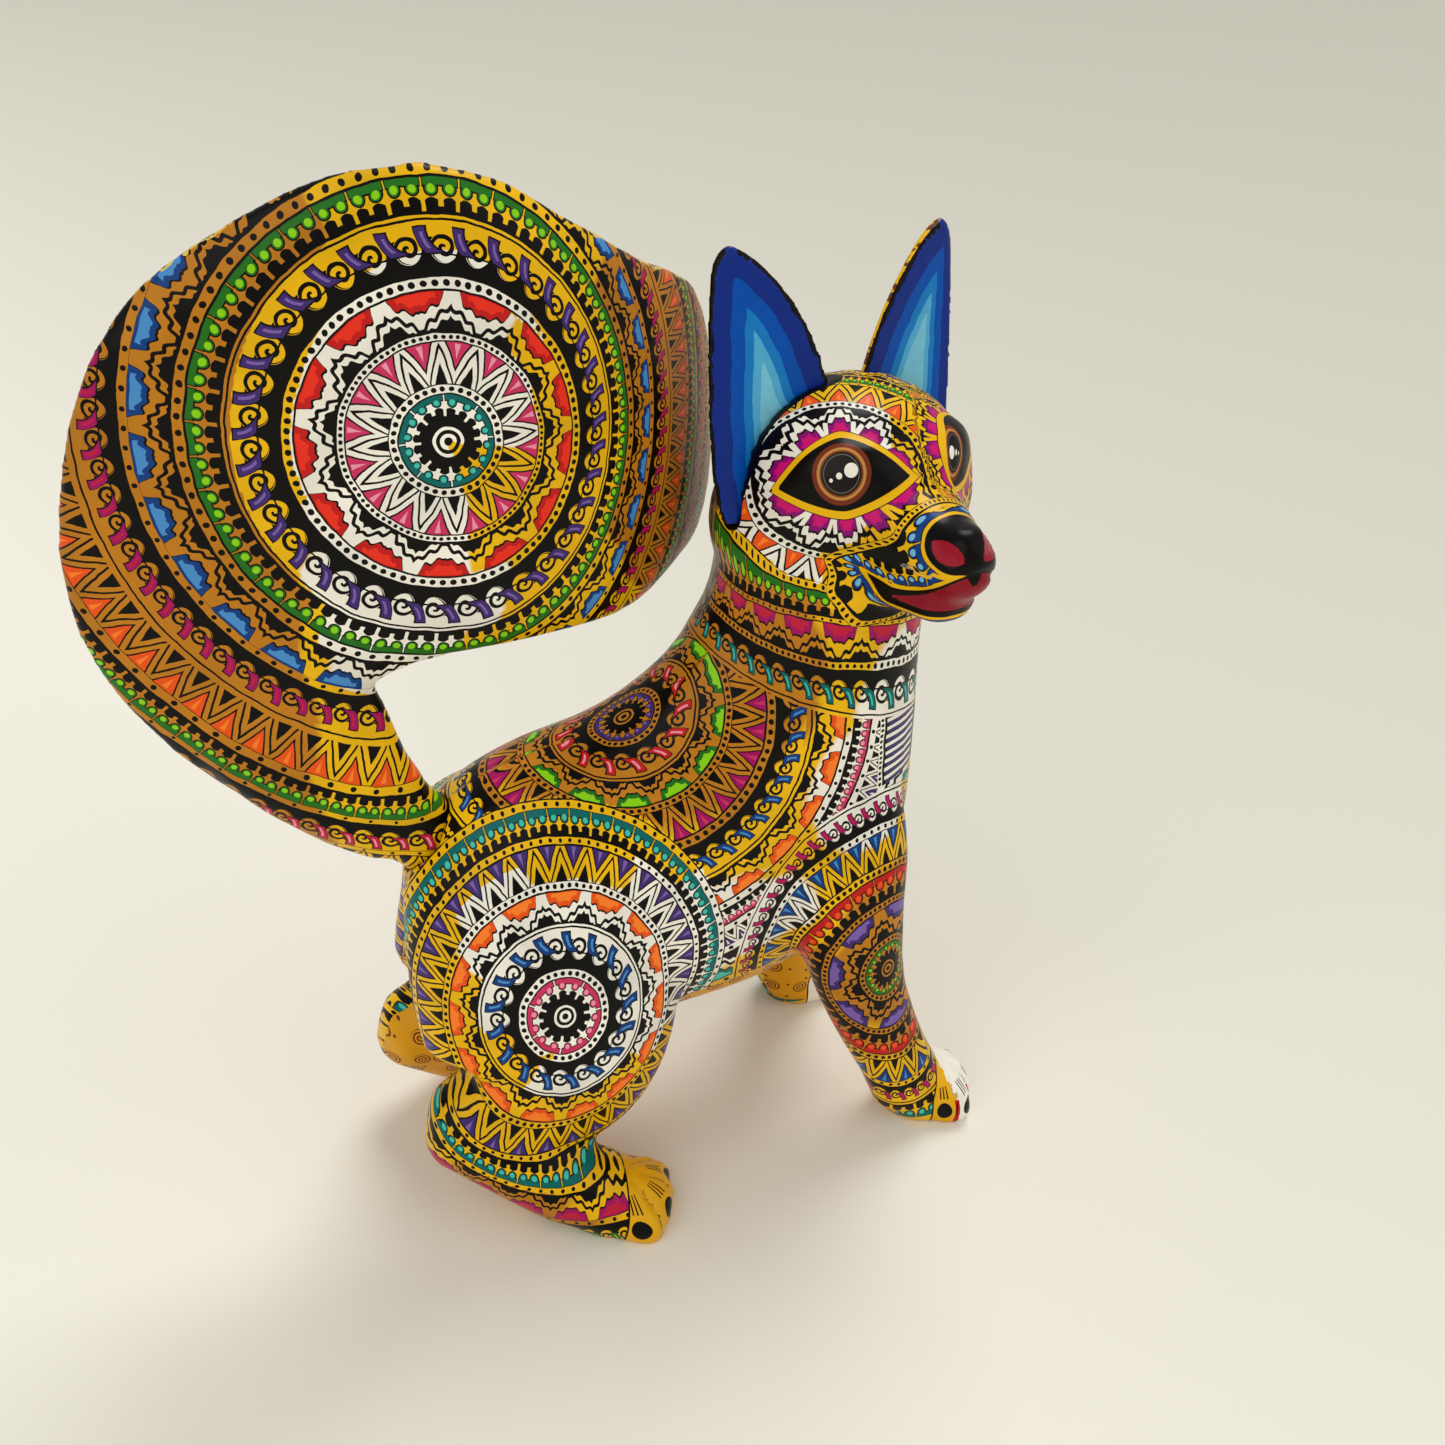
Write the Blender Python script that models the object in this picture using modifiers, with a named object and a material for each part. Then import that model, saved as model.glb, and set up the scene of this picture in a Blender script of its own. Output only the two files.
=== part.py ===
"""A carved and painted wooden dog with a large curled-over tail and two tall ears.

Four pieces: the body carved from one block, the tail and the two ears, each let into the body.
The dog looks along +X, its left side is +Y and it stands on the plane z = 0.
"""

import math

import bmesh
import bpy
import numpy as np
from mathutils import Vector

# Driving dimensions, in metres
HEIGHT = 0.276
SEAT_CLEARANCE = 0.0003
SOLE_CUT = 0.0016
TAIL_SEAT_DEPTH = 0.007
TAIL_ROOT_RADIUS = 0.0093
TAIL_THICKNESS = 0.0165
EAR_THICKNESS = 0.0048
EAR_LENGTH = 0.064
EAR_WIDTH = 0.0335
EAR_SEAT_DEPTH = 0.0045

# The carving below is laid out in millimetres on a figure of this height.
LAID_OUT_HEIGHT_MM = 276
UNIT = HEIGHT / LAID_OUT_HEIGHT_MM

# Surface fineness: the block is sampled, smoothed by a few passes, then thinned to flat chips.
VOXEL_MM = 1.5
CARVING_PASSES = 8
BODY_FACE_SHARE = 0.045
TAIL_FACE_SHARE = 0.038
SIDES = 32
STEPS = 6

FORWARD = Vector((1, 0, 0))
LEFT = Vector((0, 1, 0))
UP = Vector((0, 0, 1))

OCHRE = (0.55, 0.36, 0.05)
BLUE = (0.02, 0.12, 0.5)

# The head is turned to the dog's right: FACING is the way it looks, FACE_LEFT its own left.
HEAD_TURN = math.radians(-75)
HEAD_CENTRE = Vector((81.5, 4, 195.5))
HEAD_RADII = (30, 31, 27.5)
FACING = Vector((math.cos(HEAD_TURN), math.sin(HEAD_TURN), 0))
FACE_LEFT = UP.cross(FACING)
NAPE_OFFSET = Vector((-12, 2, -9))
NAPE_RADIUS = 24
EYE_TURN = math.radians(38)
EYE_RISE = 8

# The tail stands as an upright sheet. Seen from above, its middle runs through these points.
TAIL_SHEET = [
    (-106, -1), (-80, -4), (-50, -7), (-18, -8), (-2, -6), (14, 0), (27, 10),
    (38, 22), (47, 35), (55, 49), (61, 60),
]
TAIL_HUB_X = -18
TAIL_HUB_Z = 221.6
TAIL_ROOT = Vector((-33.5, -5, 115))
TAIL_ROOT_WAY = Vector((-0.58, -0.04, 0.81)).normalized()

# The brush's rim as (distance along the sheet, height over the hub), once round from the top
TAIL_RIM = [
    (0, 56.5), (-20, 54), (-43, 44), (-61, 32), (-74, 15), (-82, -4), (-87, -28),
    (-85, -48), (-76, -68), (-58, -87), (-40, -76), (-22, -60), (-5, -55), (22, -54),
    (46, -55), (68, -51), (84, -48), (96, -37), (100, -18), (96, 2), (85, 17), (71, 24),
    (54, 30.5), (40, 38), (29, 44), (17, 51.5),
]

# Down from the tip as a share of the length, then the outer and inner edge as shares of the width
EAR_EDGES = [
    (0.00, 0.00, 0.06), (0.02, -0.05, 0.14), (0.06, -0.09, 0.25), (0.12, -0.11, 0.37),
    (0.20, -0.12, 0.50), (0.30, -0.13, 0.62), (0.40, -0.13, 0.71), (0.50, -0.13, 0.78),
    (0.60, -0.13, 0.82), (0.70, -0.12, 0.83), (0.80, -0.11, 0.78), (0.90, -0.08, 0.62),
    (1.00, -0.02, 0.34),
]
EAR_SIDES = 16
EAR_CUP = 0.16
EAR_TWIST = math.radians(15)
EAR_LEAN = math.radians(15)
EAR_LEAN_TOWARDS = math.radians(76)

# Tip, way the ear faces, and which side of it is its inner one
EARS = {
    "ear_right": (Vector((50.8, 12.2, 253)), math.radians(-95), 1),
    "ear_left": (Vector((111.2, 27.6, 253.4)), math.radians(-60), -1),
}


def clear_scene():
    for item in list(bpy.data.objects):
        bpy.data.objects.remove(item, do_unlink=True)


def collection(name):
    made = bpy.data.collections.new(name)
    bpy.context.scene.collection.children.link(made)
    return made


def wood_finish(name, colour):
    material = bpy.data.materials.new(name)
    material.use_nodes = True
    shader = material.node_tree.nodes["Principled BSDF"]
    shader.inputs["Base Color"].default_value = (*colour, 1)
    shader.inputs["Roughness"].default_value = 0.35
    shader.inputs["Metallic"].default_value = 0.0
    return material


def smooth_rows(rows, steps):
    """Rows of numbers read along a curve that passes through every given row."""
    rows = np.array(rows, float)
    padded = np.vstack([2 * rows[0] - rows[1], rows, 2 * rows[-1] - rows[-2]])
    found = []
    for i in range(1, len(padded) - 2):
        before, start, end, after = padded[i - 1 : i + 3]
        for t in np.linspace(0, 1, steps, endpoint=False):
            found.append(
                0.5 * (2 * start + (end - before) * t
                       + (2 * before - 5 * start + 4 * end - after) * t**2
                       + (3 * start - before - 3 * end + after) * t**3)
            )
    found.append(rows[-1])
    return np.array(found)


def skin(rings, first_pole, last_pole):
    """One closed surface over rings of points, closed at each end on a pole: (points, faces)."""
    count = len(rings[0])
    points = [first_pole] + [p for ring in rings for p in ring] + [last_pole]
    faces = []
    for j in range(count):
        k = (j + 1) % count
        faces.append((0, 1 + k, 1 + j))
        for i in range(len(rings) - 1):
            low, high = 1 + i * count, 1 + (i + 1) * count
            faces.append((low + j, low + k, high + k, high + j))
        last = 1 + (len(rings) - 1) * count
        faces.append((last + j, last + k, len(points) - 1))
    return [Vector(p) for p in points], faces


def limb(stations, side=LEFT, round_ends=0.8):
    """A tapering limb. A station is (x, y, z, half size to the side, half size across)."""
    rows = smooth_rows(stations, STEPS)
    centres = rows[:, :3]
    ways = np.gradient(centres, axis=0)
    rows_in_order = [(Vector(c), Vector(w).normalized(), a, b)
                     for c, w, (a, b) in zip(centres, ways, rows[:, 3:5])]

    def ring(centre, way, a, b):
        across = (side - way * side.dot(way)).normalized()
        over = way.cross(across)
        turn = np.linspace(0, 2 * math.pi, SIDES, endpoint=False)
        return [centre + across * (a * math.cos(t)) + over * (b * math.sin(t)) for t in turn]

    def cap(centre, way, a, b, outward):
        reach = round_ends * min(a, b)
        made = []
        for t in np.linspace(0, math.pi / 2, 5)[1:-1]:
            moved = centre + way * (outward * reach * math.sin(t))
            made.append(ring(moved, way, a * math.cos(t), b * math.cos(t)))
        return made, centre + way * (outward * reach)

    start, first_pole = cap(*rows_in_order[0], -1)
    end, last_pole = cap(*rows_in_order[-1], 1)
    rings = start[::-1] + [ring(*row) for row in rows_in_order] + end
    return skin(rings, first_pole, last_pole)


def egg(centre, ways, radii):
    """An ellipsoid along three ways square to each other, drawn out of a unit sphere."""
    ball = bmesh.new()
    bmesh.ops.create_uvsphere(ball, u_segments=SIDES, v_segments=SIDES // 2, radius=1)
    reach = [way * radius for way, radius in zip(ways, radii)]
    points = [centre + sum((reach[i] * v.co[i] for i in range(3)), Vector()) for v in ball.verts]
    faces = [tuple(v.index for v in face.verts) for face in ball.faces]
    ball.free()
    return points, faces


def object_from(name, shapes, home):
    """One mesh object holding the given (points, faces) shapes, laid out in millimetres."""
    points, faces = [], []
    for shape_points, shape_faces in shapes:
        start = len(points)
        points += [p * UNIT for p in shape_points]
        faces += [tuple(start + i for i in face) for face in shape_faces]
    mesh = bpy.data.meshes.new(name)
    mesh.from_pydata(points, [], faces)
    mesh.shade_smooth()
    made = bpy.data.objects.new(name, mesh)
    home.objects.link(made)
    return made


def carve(piece, face_share):
    """Joins a piece's overlapping shapes into one skin, softens it and leaves flat chips."""
    remesh = piece.modifiers.new("One skin", "REMESH")
    remesh.mode = "VOXEL"
    remesh.voxel_size = VOXEL_MM * UNIT
    remesh.use_smooth_shade = True
    soften = piece.modifiers.new("Soften", "SMOOTH")
    soften.factor = 0.5
    soften.iterations = CARVING_PASSES
    thin = piece.modifiers.new("Chips", "DECIMATE")
    thin.ratio = face_share


def cut(piece, cutter):
    boolean = piece.modifiers.new(cutter.name, "BOOLEAN")
    boolean.operation = "DIFFERENCE"
    boolean.solver = "EXACT"
    boolean.object = cutter


def as_cutter(item):
    item.hide_render = True
    item.display_type = "WIRE"
    return item


def torso_and_neck():
    """From the rump to the top of the neck, section by section from the spine to the breast."""
    rows = smooth_rows([
        # spine x, z, breast x, z, middle y, half width
        (-33, 119, -31, 72, -4, 20),
        (-24, 127, -24, 58, -4, 27),
        (-8, 134.5, -8, 50, -3, 31),
        (12, 139.5, 12, 47, -1, 31.5),
        (25, 146, 36, 46, 1, 30.5),
        (35, 154, 62, 50, 3, 29),
        (41, 162, 86, 64, 5, 28),
        (45.5, 170, 100, 92, 6, 27.5),
        (47.5, 179, 102, 125, 6, 27),
        (50, 190, 101.5, 155, 5, 26.5),
        (54, 202, 103, 180, 4, 25),
    ], STEPS)
    rings = []
    for spine_x, spine_z, breast_x, breast_z, middle, width in rows:
        spine = Vector((spine_x, middle, spine_z))
        breast = Vector((breast_x, middle, breast_z))
        over = (spine - breast) / 2
        ring = []
        for turn in np.linspace(0, 2 * math.pi, SIDES, endpoint=False):
            ring.append((spine + breast) / 2 + LEFT * (width * math.cos(turn)) + over * math.sin(turn))
        rings.append(ring[::-1])
    middle_of = [sum(ring, Vector()) / len(ring) for ring in rings]
    rump = middle_of[0] - FORWARD * 9
    rounding = [rump + (p - middle_of[0]) * 0.62 + FORWARD * 2.5 for p in rings[0]]
    return skin([rounding, *rings], rump, middle_of[-1] + UP * 4)


def in_head(forward, left, up):
    return HEAD_CENTRE + FACING * forward + FACE_LEFT * left + UP * up


def skull_shapes(less):
    """The skull and the nape under it, each taken in by the given amount."""
    ways = (FACING, FACE_LEFT, UP)
    skull = egg(HEAD_CENTRE, ways, [radius - less for radius in HEAD_RADII])
    nape = egg(HEAD_CENTRE + NAPE_OFFSET, ways, [NAPE_RADIUS - less] * 3)
    return [skull, nape]


def head():
    """Skull, muzzle with the nose, lower jaw and the two low mounds of the eyes."""
    muzzle = limb([
        (*in_head(12, 0, -3), 22, 19),
        (*in_head(26, 0, -4.5), 16, 14.5),
        (*in_head(37, 0, -5), 11.5, 11),
        (*in_head(46, 0, -5.5), 8.5, 8.5),
    ], side=FACE_LEFT)
    nose = egg(in_head(45.5, 0, -2.5), (FACING, FACE_LEFT, UP), (7.5, 7.5, 7.5))
    jaw = limb([
        (*in_head(14, 0, -13), 16, 10),
        (*in_head(28, 0, -15.5), 12, 7),
        (*in_head(42, 0, -16.5), 8, 4.8),
    ], side=FACE_LEFT)
    eyes = []
    for turn in (-EYE_TURN, EYE_TURN):
        out = FACING * math.cos(turn) + FACE_LEFT * math.sin(turn)
        along = UP.cross(out)
        eyes.append(egg(HEAD_CENTRE + out * 22.5 + UP * EYE_RISE, (out, along, UP), (7, 15, 11)))
    return [*skull_shapes(0), muzzle, nose, jaw, *eyes]


def paw(centre, way, length, width, height):
    """A paw with four toes in a row across its front."""
    way = Vector(way).normalized()
    across = UP.cross(way)
    made = [egg(centre, (way, across, UP), (length, width, height))]
    for place in (-1.5, -0.5, 0.5, 1.5):
        toe = centre + way * (length * (0.62 - 0.05 * place**2)) + across * (place * width * 0.5)
        toe = toe - UP * (0.18 * height)
        made.append(egg(toe, (way, across, UP), (length * 0.42, width * 0.3, height * 0.72)))
    return made


def front_leg(stations, foot, way):
    return [limb(stations), *paw(Vector(foot), way, 14.5, 11.5, 11.5)]


def rear_leg(thigh, shin, foot, way):
    return [limb(thigh), limb(shin), *paw(Vector(foot), way, 16, 12.5, 10)]


def legs():
    right_front = front_leg([
        (70, -3, 132, 13, 20),
        (72, -8.5, 116, 13.5, 21.5),
        (76, -14.5, 95, 13.5, 20),
        (79, -17, 75, 13.5, 16),
        (82.5, -18, 55, 12.5, 13.3),
        (88, -19, 38, 11.5, 11.8),
        (94, -20, 24, 11, 11),
        (99, -20, 12, 11, 11.5),
    ], (105, -20, 8), (1, -0.15, 0))
    left_front = front_leg([
        (70, 13, 132, 13, 20),
        (72, 18.5, 116, 13.5, 21.5),
        (75, 24.5, 95, 13.5, 19),
        (76, 29, 75, 13, 15),
        (77, 33, 56, 12, 12.5),
        (78, 36, 40, 11.5, 11.5),
        (79.5, 38.5, 25, 11, 11),
        (81, 40, 12, 11, 12),
    ], (85.5, 41, 7), (1, 0.15, 0))
    right_rear = rear_leg([
        (-9, -12, 105, 21, 32),
        (-8, -17, 84, 21.5, 34.5),
        (-6.5, -21, 63, 19.5, 35),
        (-9, -23, 47, 17, 30.5),
        (-20, -24, 36, 14, 22),
        (-33, -24.5, 33, 12, 13),
    ], [
        (-33.5, -25, 32, 11.5, 12),
        (-20, -29, 21, 12, 11.5),
        (-8, -33.5, 13.5, 12.5, 11.5),
        (2, -36.5, 9.5, 13, 10.5),
    ], (6, -38, 7), (0.96, -0.28, 0))
    left_rear = rear_leg([
        (-9.5, 6, 105, 22, 29.5),
        (-10.5, 11, 84, 21.5, 31),
        (-14, 15, 63, 19, 31.5),
        (-19, 17, 47, 16, 28),
        (-30, 17, 37, 14, 20),
        (-43, 17, 34, 12, 12.5),
    ], [
        (-43.5, 17.5, 33, 11.5, 12),
        (-31, 22, 21, 12, 11.5),
        (-20, 27, 13.5, 12.5, 11.5),
        (-10, 31, 9.5, 13, 10.5),
    ], (-6, 32.5, 7), (0.94, 0.34, 0))
    return [*right_front, *left_front, *right_rear, *left_rear]


def tail_sheet():
    """The sheet's middle as (x, y, distance along it from the hub of its pattern)."""
    line = smooth_rows(TAIL_SHEET, 8)
    steps = np.linalg.norm(np.diff(line, axis=0), axis=1)
    along = np.concatenate([[0], np.cumsum(steps)])
    hub = np.interp(TAIL_HUB_X, line[:, 0], along)
    return line[:, 0], line[:, 1], along - hub


def on_tail(along, height, out):
    """A point by its distance along the sheet, its height and how far it stands out to the right."""
    xs, ys, distances = tail_sheet()
    x, y = np.interp(along, distances, xs), np.interp(along, distances, ys)
    ahead = np.interp(along + 1, distances, xs), np.interp(along + 1, distances, ys)
    behind = np.interp(along - 1, distances, xs), np.interp(along - 1, distances, ys)
    way = Vector((ahead[0] - behind[0], ahead[1] - behind[1], 0)).normalized()
    return Vector((x, y, height)) + way.cross(UP) * out


def fan():
    """The broad brush of the tail: a lens-shaped sheet round its hub."""
    rim = smooth_rows(TAIL_RIM + TAIL_RIM[:1], STEPS)[:-1]
    half = TAIL_THICKNESS / UNIT / 2
    fronts, backs = [], []
    for share in (0.12, 0.25, 0.4, 0.55, 0.7, 0.82, 0.9, 0.96, 0.99):
        thick = half * (1 - share**3) ** 0.5
        fronts.append([on_tail(a * share, TAIL_HUB_Z + h * share, thick) for a, h in rim])
        backs.append([on_tail(a * share, TAIL_HUB_Z + h * share, -thick) for a, h in rim])
    edge = [on_tail(a, TAIL_HUB_Z + h, 0) for a, h in rim]
    rings = fronts + [edge] + backs[::-1]
    return skin(rings, on_tail(0, TAIL_HUB_Z, half), on_tail(0, TAIL_HUB_Z, -half))


def tail_stem(grow=0):
    """The stem's stations from the bottom of its seat upwards, and how far it is let in."""
    r = TAIL_ROOT_RADIUS / UNIT
    seat = TAIL_SEAT_DEPTH / UNIT + grow
    rows = [
        (*(TAIL_ROOT - TAIL_ROOT_WAY * seat), r, r),
        (*(TAIL_ROOT + TAIL_ROOT_WAY * 5), r, r * 1.15),
        (-41.5, -6.5, 123.6, 9, 13.5),
        (-49.5, -7, 133, 8.5, 17),
        (-57, -6.5, 144.6, 8, 21),
        (-64, -6, 158, 6.5, 22),
        (-68, -6, 170, 4, 16),
    ]
    return [(x, y, z, side + grow, across + grow) for x, y, z, side, across in rows]


def tail():
    return [fan(), limb(tail_stem(), round_ends=0.3)]


def seat_of_tail(home):
    """The socket in the rump that the tail's root stands in, cut to the shape of the stem."""
    stem = tail_stem(SEAT_CLEARANCE / UNIT)[:5]
    return as_cutter(object_from("tail_socket", [limb(stem, round_ends=0.3)], home))


def ear_shape(name, grow=0):
    """A pointed cupped leaf standing on edge, straight on its outer edge and round on its inner."""
    tip, tip_facing, mirror = EARS[name]
    back = Vector((math.cos(EAR_LEAN_TOWARDS), math.sin(EAR_LEAN_TOWARDS), 0))
    rise = UP * math.cos(EAR_LEAN) + back * math.sin(EAR_LEAN)
    length, width = EAR_LENGTH / UNIT, EAR_WIDTH / UNIT
    half = EAR_THICKNESS / UNIT / 2 + grow
    rings = []
    for down, outer, inner in EAR_EDGES:
        facing = tip_facing + mirror * EAR_TWIST * down
        normal = Vector((math.cos(facing), math.sin(facing), 0))
        inward = UP.cross(normal) * mirror
        face = (normal - rise * rise.dot(normal)).normalized()
        left, right = outer * width - grow, inner * width + grow
        middle, reach = (left + right) / 2, (right - left) / 2
        centre = tip + inward * middle - rise * (down * length)
        ring = []
        for turn in np.linspace(0, 2 * math.pi, EAR_SIDES, endpoint=False):
            across = math.cos(turn)
            thick = half * math.sin(turn) * min(1, 0.5 + reach / 10)
            cup = EAR_CUP * reach * (across**2 - 1)
            ring.append(centre + inward * (reach * across) + face * (thick + cup))
        rings.append(ring[::-1] if mirror > 0 else ring)
    top = sum(rings[0], Vector()) / EAR_SIDES + rise * (0.6 + grow)
    foot = sum(rings[-1], Vector()) / EAR_SIDES - rise * (1 + grow)
    return skin(rings, top, foot)


def head_core(name, depth, home):
    """The head less a skin of the given depth, which an ear's foot stands on."""
    shapes = skull_shapes(depth / UNIT)
    core = object_from(name, shapes, home)
    remesh = core.modifiers.new("One skin", "REMESH")
    remesh.mode = "VOXEL"
    remesh.voxel_size = VOXEL_MM * UNIT
    return as_cutter(core)


def sole_plane(home):
    """Everything below the soles: it cuts the four paws flat, on one plane."""
    depth = HEIGHT / 4
    bpy.ops.mesh.primitive_cube_add(size=1)
    slab = bpy.context.active_object
    slab.name = "sole_plane"
    slab.scale = (2 * HEIGHT, 2 * HEIGHT, depth)
    slab.location = (0, 0, SOLE_CUT - depth / 2)
    for holder in list(slab.users_collection):
        holder.objects.unlink(slab)
    home.objects.link(slab)
    return as_cutter(slab)


def stand_on_origin(pieces, helpers):
    """Puts the origin under the middle of the whole figure, on the plane of its soles."""
    bpy.context.view_layer.update()
    graph = bpy.context.evaluated_depsgraph_get()
    corners = []
    for piece in pieces:
        made = piece.evaluated_get(graph)
        corners += [made.matrix_world @ Vector(corner) for corner in made.bound_box]
    low = Vector([min(corner[i] for corner in corners) for i in range(3)])
    high = Vector([max(corner[i] for corner in corners) for i in range(3)])
    stand = bpy.data.objects.new("stand_point", None)
    bpy.context.scene.collection.objects.link(stand)
    stand.location = (-(low.x + high.x) / 2, -(low.y + high.y) / 2, -low.z)
    for item in (*pieces, *helpers):
        item.parent = stand


def main():
    clear_scene()
    dog = collection("Painted wooden dog")
    cutters = collection("Cutters")

    body = object_from("body", [torso_and_neck(), *head(), *legs()], dog)
    body.data.materials.append(wood_finish("Painted body", OCHRE))
    carve(body, BODY_FACE_SHARE)
    cut(body, sole_plane(cutters))
    cut(body, seat_of_tail(cutters))

    brush = object_from("tail", tail(), dog)
    brush.data.materials.append(wood_finish("Painted tail", OCHRE))
    carve(brush, TAIL_FACE_SHARE)

    ears = []
    foot_core = head_core("head_core_under_ears", EAR_SEAT_DEPTH, cutters)
    slot_core = head_core("head_core_under_slots", EAR_SEAT_DEPTH + SEAT_CLEARANCE, cutters)
    for name in EARS:
        ear = object_from(name, [ear_shape(name)], dog)
        ear.data.materials.append(wood_finish(f"Painted {name}", BLUE))
        cut(ear, foot_core)
        slot = object_from(f"{name}_slot", [ear_shape(name, SEAT_CLEARANCE / UNIT)], cutters)
        cut(as_cutter(slot), slot_core)
        cut(body, slot)
        ears.append(ear)
    stand_on_origin([body, brush, *ears], cutters.objects)


main()
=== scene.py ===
"""Looks of the painted wooden dog: its carved pieces as smooth meshes, under hand-painted folk patterns."""

import math
from types import SimpleNamespace

import bmesh
import bpy
import numpy as np
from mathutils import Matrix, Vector
from mathutils.kdtree import KDTree


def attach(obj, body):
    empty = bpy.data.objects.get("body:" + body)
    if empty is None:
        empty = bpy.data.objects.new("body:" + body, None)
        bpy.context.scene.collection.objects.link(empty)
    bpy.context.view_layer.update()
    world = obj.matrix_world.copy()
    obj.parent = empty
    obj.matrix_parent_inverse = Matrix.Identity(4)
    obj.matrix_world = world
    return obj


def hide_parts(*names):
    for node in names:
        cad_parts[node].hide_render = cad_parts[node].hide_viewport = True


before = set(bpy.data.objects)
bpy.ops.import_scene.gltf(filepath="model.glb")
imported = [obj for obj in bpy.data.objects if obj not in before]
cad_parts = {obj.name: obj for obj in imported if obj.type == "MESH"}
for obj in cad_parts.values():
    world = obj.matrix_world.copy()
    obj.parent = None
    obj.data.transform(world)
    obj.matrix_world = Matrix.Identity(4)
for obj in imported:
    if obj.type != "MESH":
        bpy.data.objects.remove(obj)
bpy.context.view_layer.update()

# Everything below is in millimetres, in the frame's axes, until it is stored
MM = 0.001
TAU = 2 * math.pi

# Paint, as screen colours from 0 to 255
BLACK_INK = (6, 3, 1)
WHITE = (243, 238, 224)
YELLOW = (238, 184, 12)
OCHRE = (190, 122, 26)
PURPLE = (66, 44, 112)
LILAC = (124, 96, 170)
MAGENTA = (166, 14, 96)
CRIMSON = (196, 30, 62)
PINK = (206, 52, 98)
ROSE = (240, 152, 172)
ORANGE = (238, 86, 20)
AMBER = (255, 130, 40)
RED = (196, 28, 26)
SCARLET = (240, 50, 30)
GREEN = (36, 112, 28)
LIME = (140, 212, 20)
TEAL = (8, 104, 102)
AQUA = (70, 196, 176)
NAVY = (16, 62, 128)
SKY = (120, 186, 226)
AZURE = (74, 142, 204)
BROWN = (112, 52, 20)
ORCHID = (134, 10, 112)
FUCHSIA = (206, 14, 112)
HONEY = (222, 158, 18)
CORN = (232, 172, 16)
WORN_YELLOW = (226, 196, 92)
WORN_GREY = (112, 106, 92)
BARK = (70, 54, 40)
BARE_WOOD = (136, 112, 84)
PALE_WOOD = (172, 140, 84)
LIP_RED = (140, 20, 36)
NOSTRIL_RED = (158, 18, 40)

# What a motif lays on each spot
BASE, FILL, LIGHT, INK = 0, 1, 2, 3

# The motifs, by the number that a band's ramp carries
DOTS, LINE, ZIGZAG, FRET, SCROLL, COMB, GEAR, SOLID, STRIPES = range(9)
FLIPPED = 0.5
MOST_MOTIFS = 10
MOST_CELLS = 100
RAMP_STEPS = 255
# How unsteady the hand is, in millimetres
WOBBLE = 1.1

# The outline of a strip of dots in millimetres, and at most in widths of the strip. A dot's radius in such
# widths, and half the width of a plain line in millimetres
OUTLINE = 0.34
MOST_OUTLINE = 0.13
DOT_RADIUS = 0.24
LINE_HALF = 0.24

# How many steps a fret has from one cloud to the next and how deep they cut. The length of a wave, the middle
# of its curl, and the middle and radius of its bar's bend, across and outwards
STEPS = 5.0
STEP_CUT = 1.45
WAVE = 0.73
CURL = (0.12, 0.56)
BEND = (0.29, 0.93, 0.614)

# The kinds of value that a Mix node takes, in the order of its sockets
MIX_KINDS = ("FLOAT", "VECTOR", "RGBA")


def linear(colour):
    """A screen colour as the linear red, green, blue and alpha that a shader takes."""
    parts = [c / 255 for c in colour]
    return [c / 12.92 if c <= 0.04045 else ((c + 0.055) / 1.055) ** 2.4 for c in parts] + [1.0]


def operator(kind, swapped=False):
    """A Python operator on fields that adds one Math node."""

    def apply(self, other):
        return maths(kind, other, self) if swapped else maths(kind, self, other)

    return apply


class Field:
    """A value that varies over the surface. Arithmetic on it adds nodes to its material. Masks are 0 or 1."""

    def __init__(self, socket):
        self.socket = socket

    __add__ = __radd__ = operator("ADD")
    __sub__ = operator("SUBTRACT")
    __rsub__ = operator("SUBTRACT", swapped=True)
    __mul__ = __rmul__ = __and__ = operator("MULTIPLY")
    __truediv__ = operator("DIVIDE")
    __rtruediv__ = operator("DIVIDE", swapped=True)
    __lt__ = operator("LESS_THAN")
    __gt__ = operator("GREATER_THAN")
    __or__ = operator("MAXIMUM")

    def __abs__(self):
        return maths("ABSOLUTE", self)

    def __neg__(self):
        return self * -1.0


def feed(socket, value):
    """Links a field to a socket, or sets the socket to a plain value."""
    if isinstance(value, Field):
        socket.id_data.links.new(value.socket, socket)
    else:
        socket.default_value = value


def tree_of(values):
    return next(v.socket.id_data for v in values if isinstance(v, Field))


def maths(kind, *values):
    node = tree_of(values).nodes.new("ShaderNodeMath")
    node.operation = kind
    for socket, value in zip(node.inputs, values):
        feed(socket, value)
    return Field(node.outputs[0])


def fract(value):
    return maths("FRACT", value)


def sine(value):
    return maths("SINE", value)


def hypot(across, up):
    return maths("SQRT", across * across + up * up)


def mixed(kind, mask, under, over, way="MIX"):
    """A value of one kind: under where the mask is 0, and over where it is 1. A tuple is a screen colour."""
    node = tree_of((mask, under, over)).nodes.new("ShaderNodeMix")
    node.data_type = kind
    node.blend_type = way
    place = MIX_KINDS.index(kind)
    for number, value in ((0, mask), (2 * place + 2, under), (2 * place + 3, over)):
        feed(node.inputs[number], linear(value) if isinstance(value, tuple) else value)
    return Field(node.outputs[place])


def pick(mask, no, yes):
    """A number mixed by a mask."""
    return mixed("FLOAT", mask, no, yes)


def cover(mask, under, over, way="MIX"):
    """A colour mixed by a mask."""
    return mixed("RGBA", mask, under, over, way)


def coated(colour, inside, *coats):
    """A colour under coats of plain paint inside a border. A coat is a mask and its paint."""
    for mask, paint in coats:
        colour = cover(inside & mask, colour, paint)
    return colour


def parts_of(vector):
    node = vector.socket.id_data.nodes.new("ShaderNodeSeparateXYZ")
    feed(node.inputs[0], vector)
    return [Field(output) for output in node.outputs]


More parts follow.
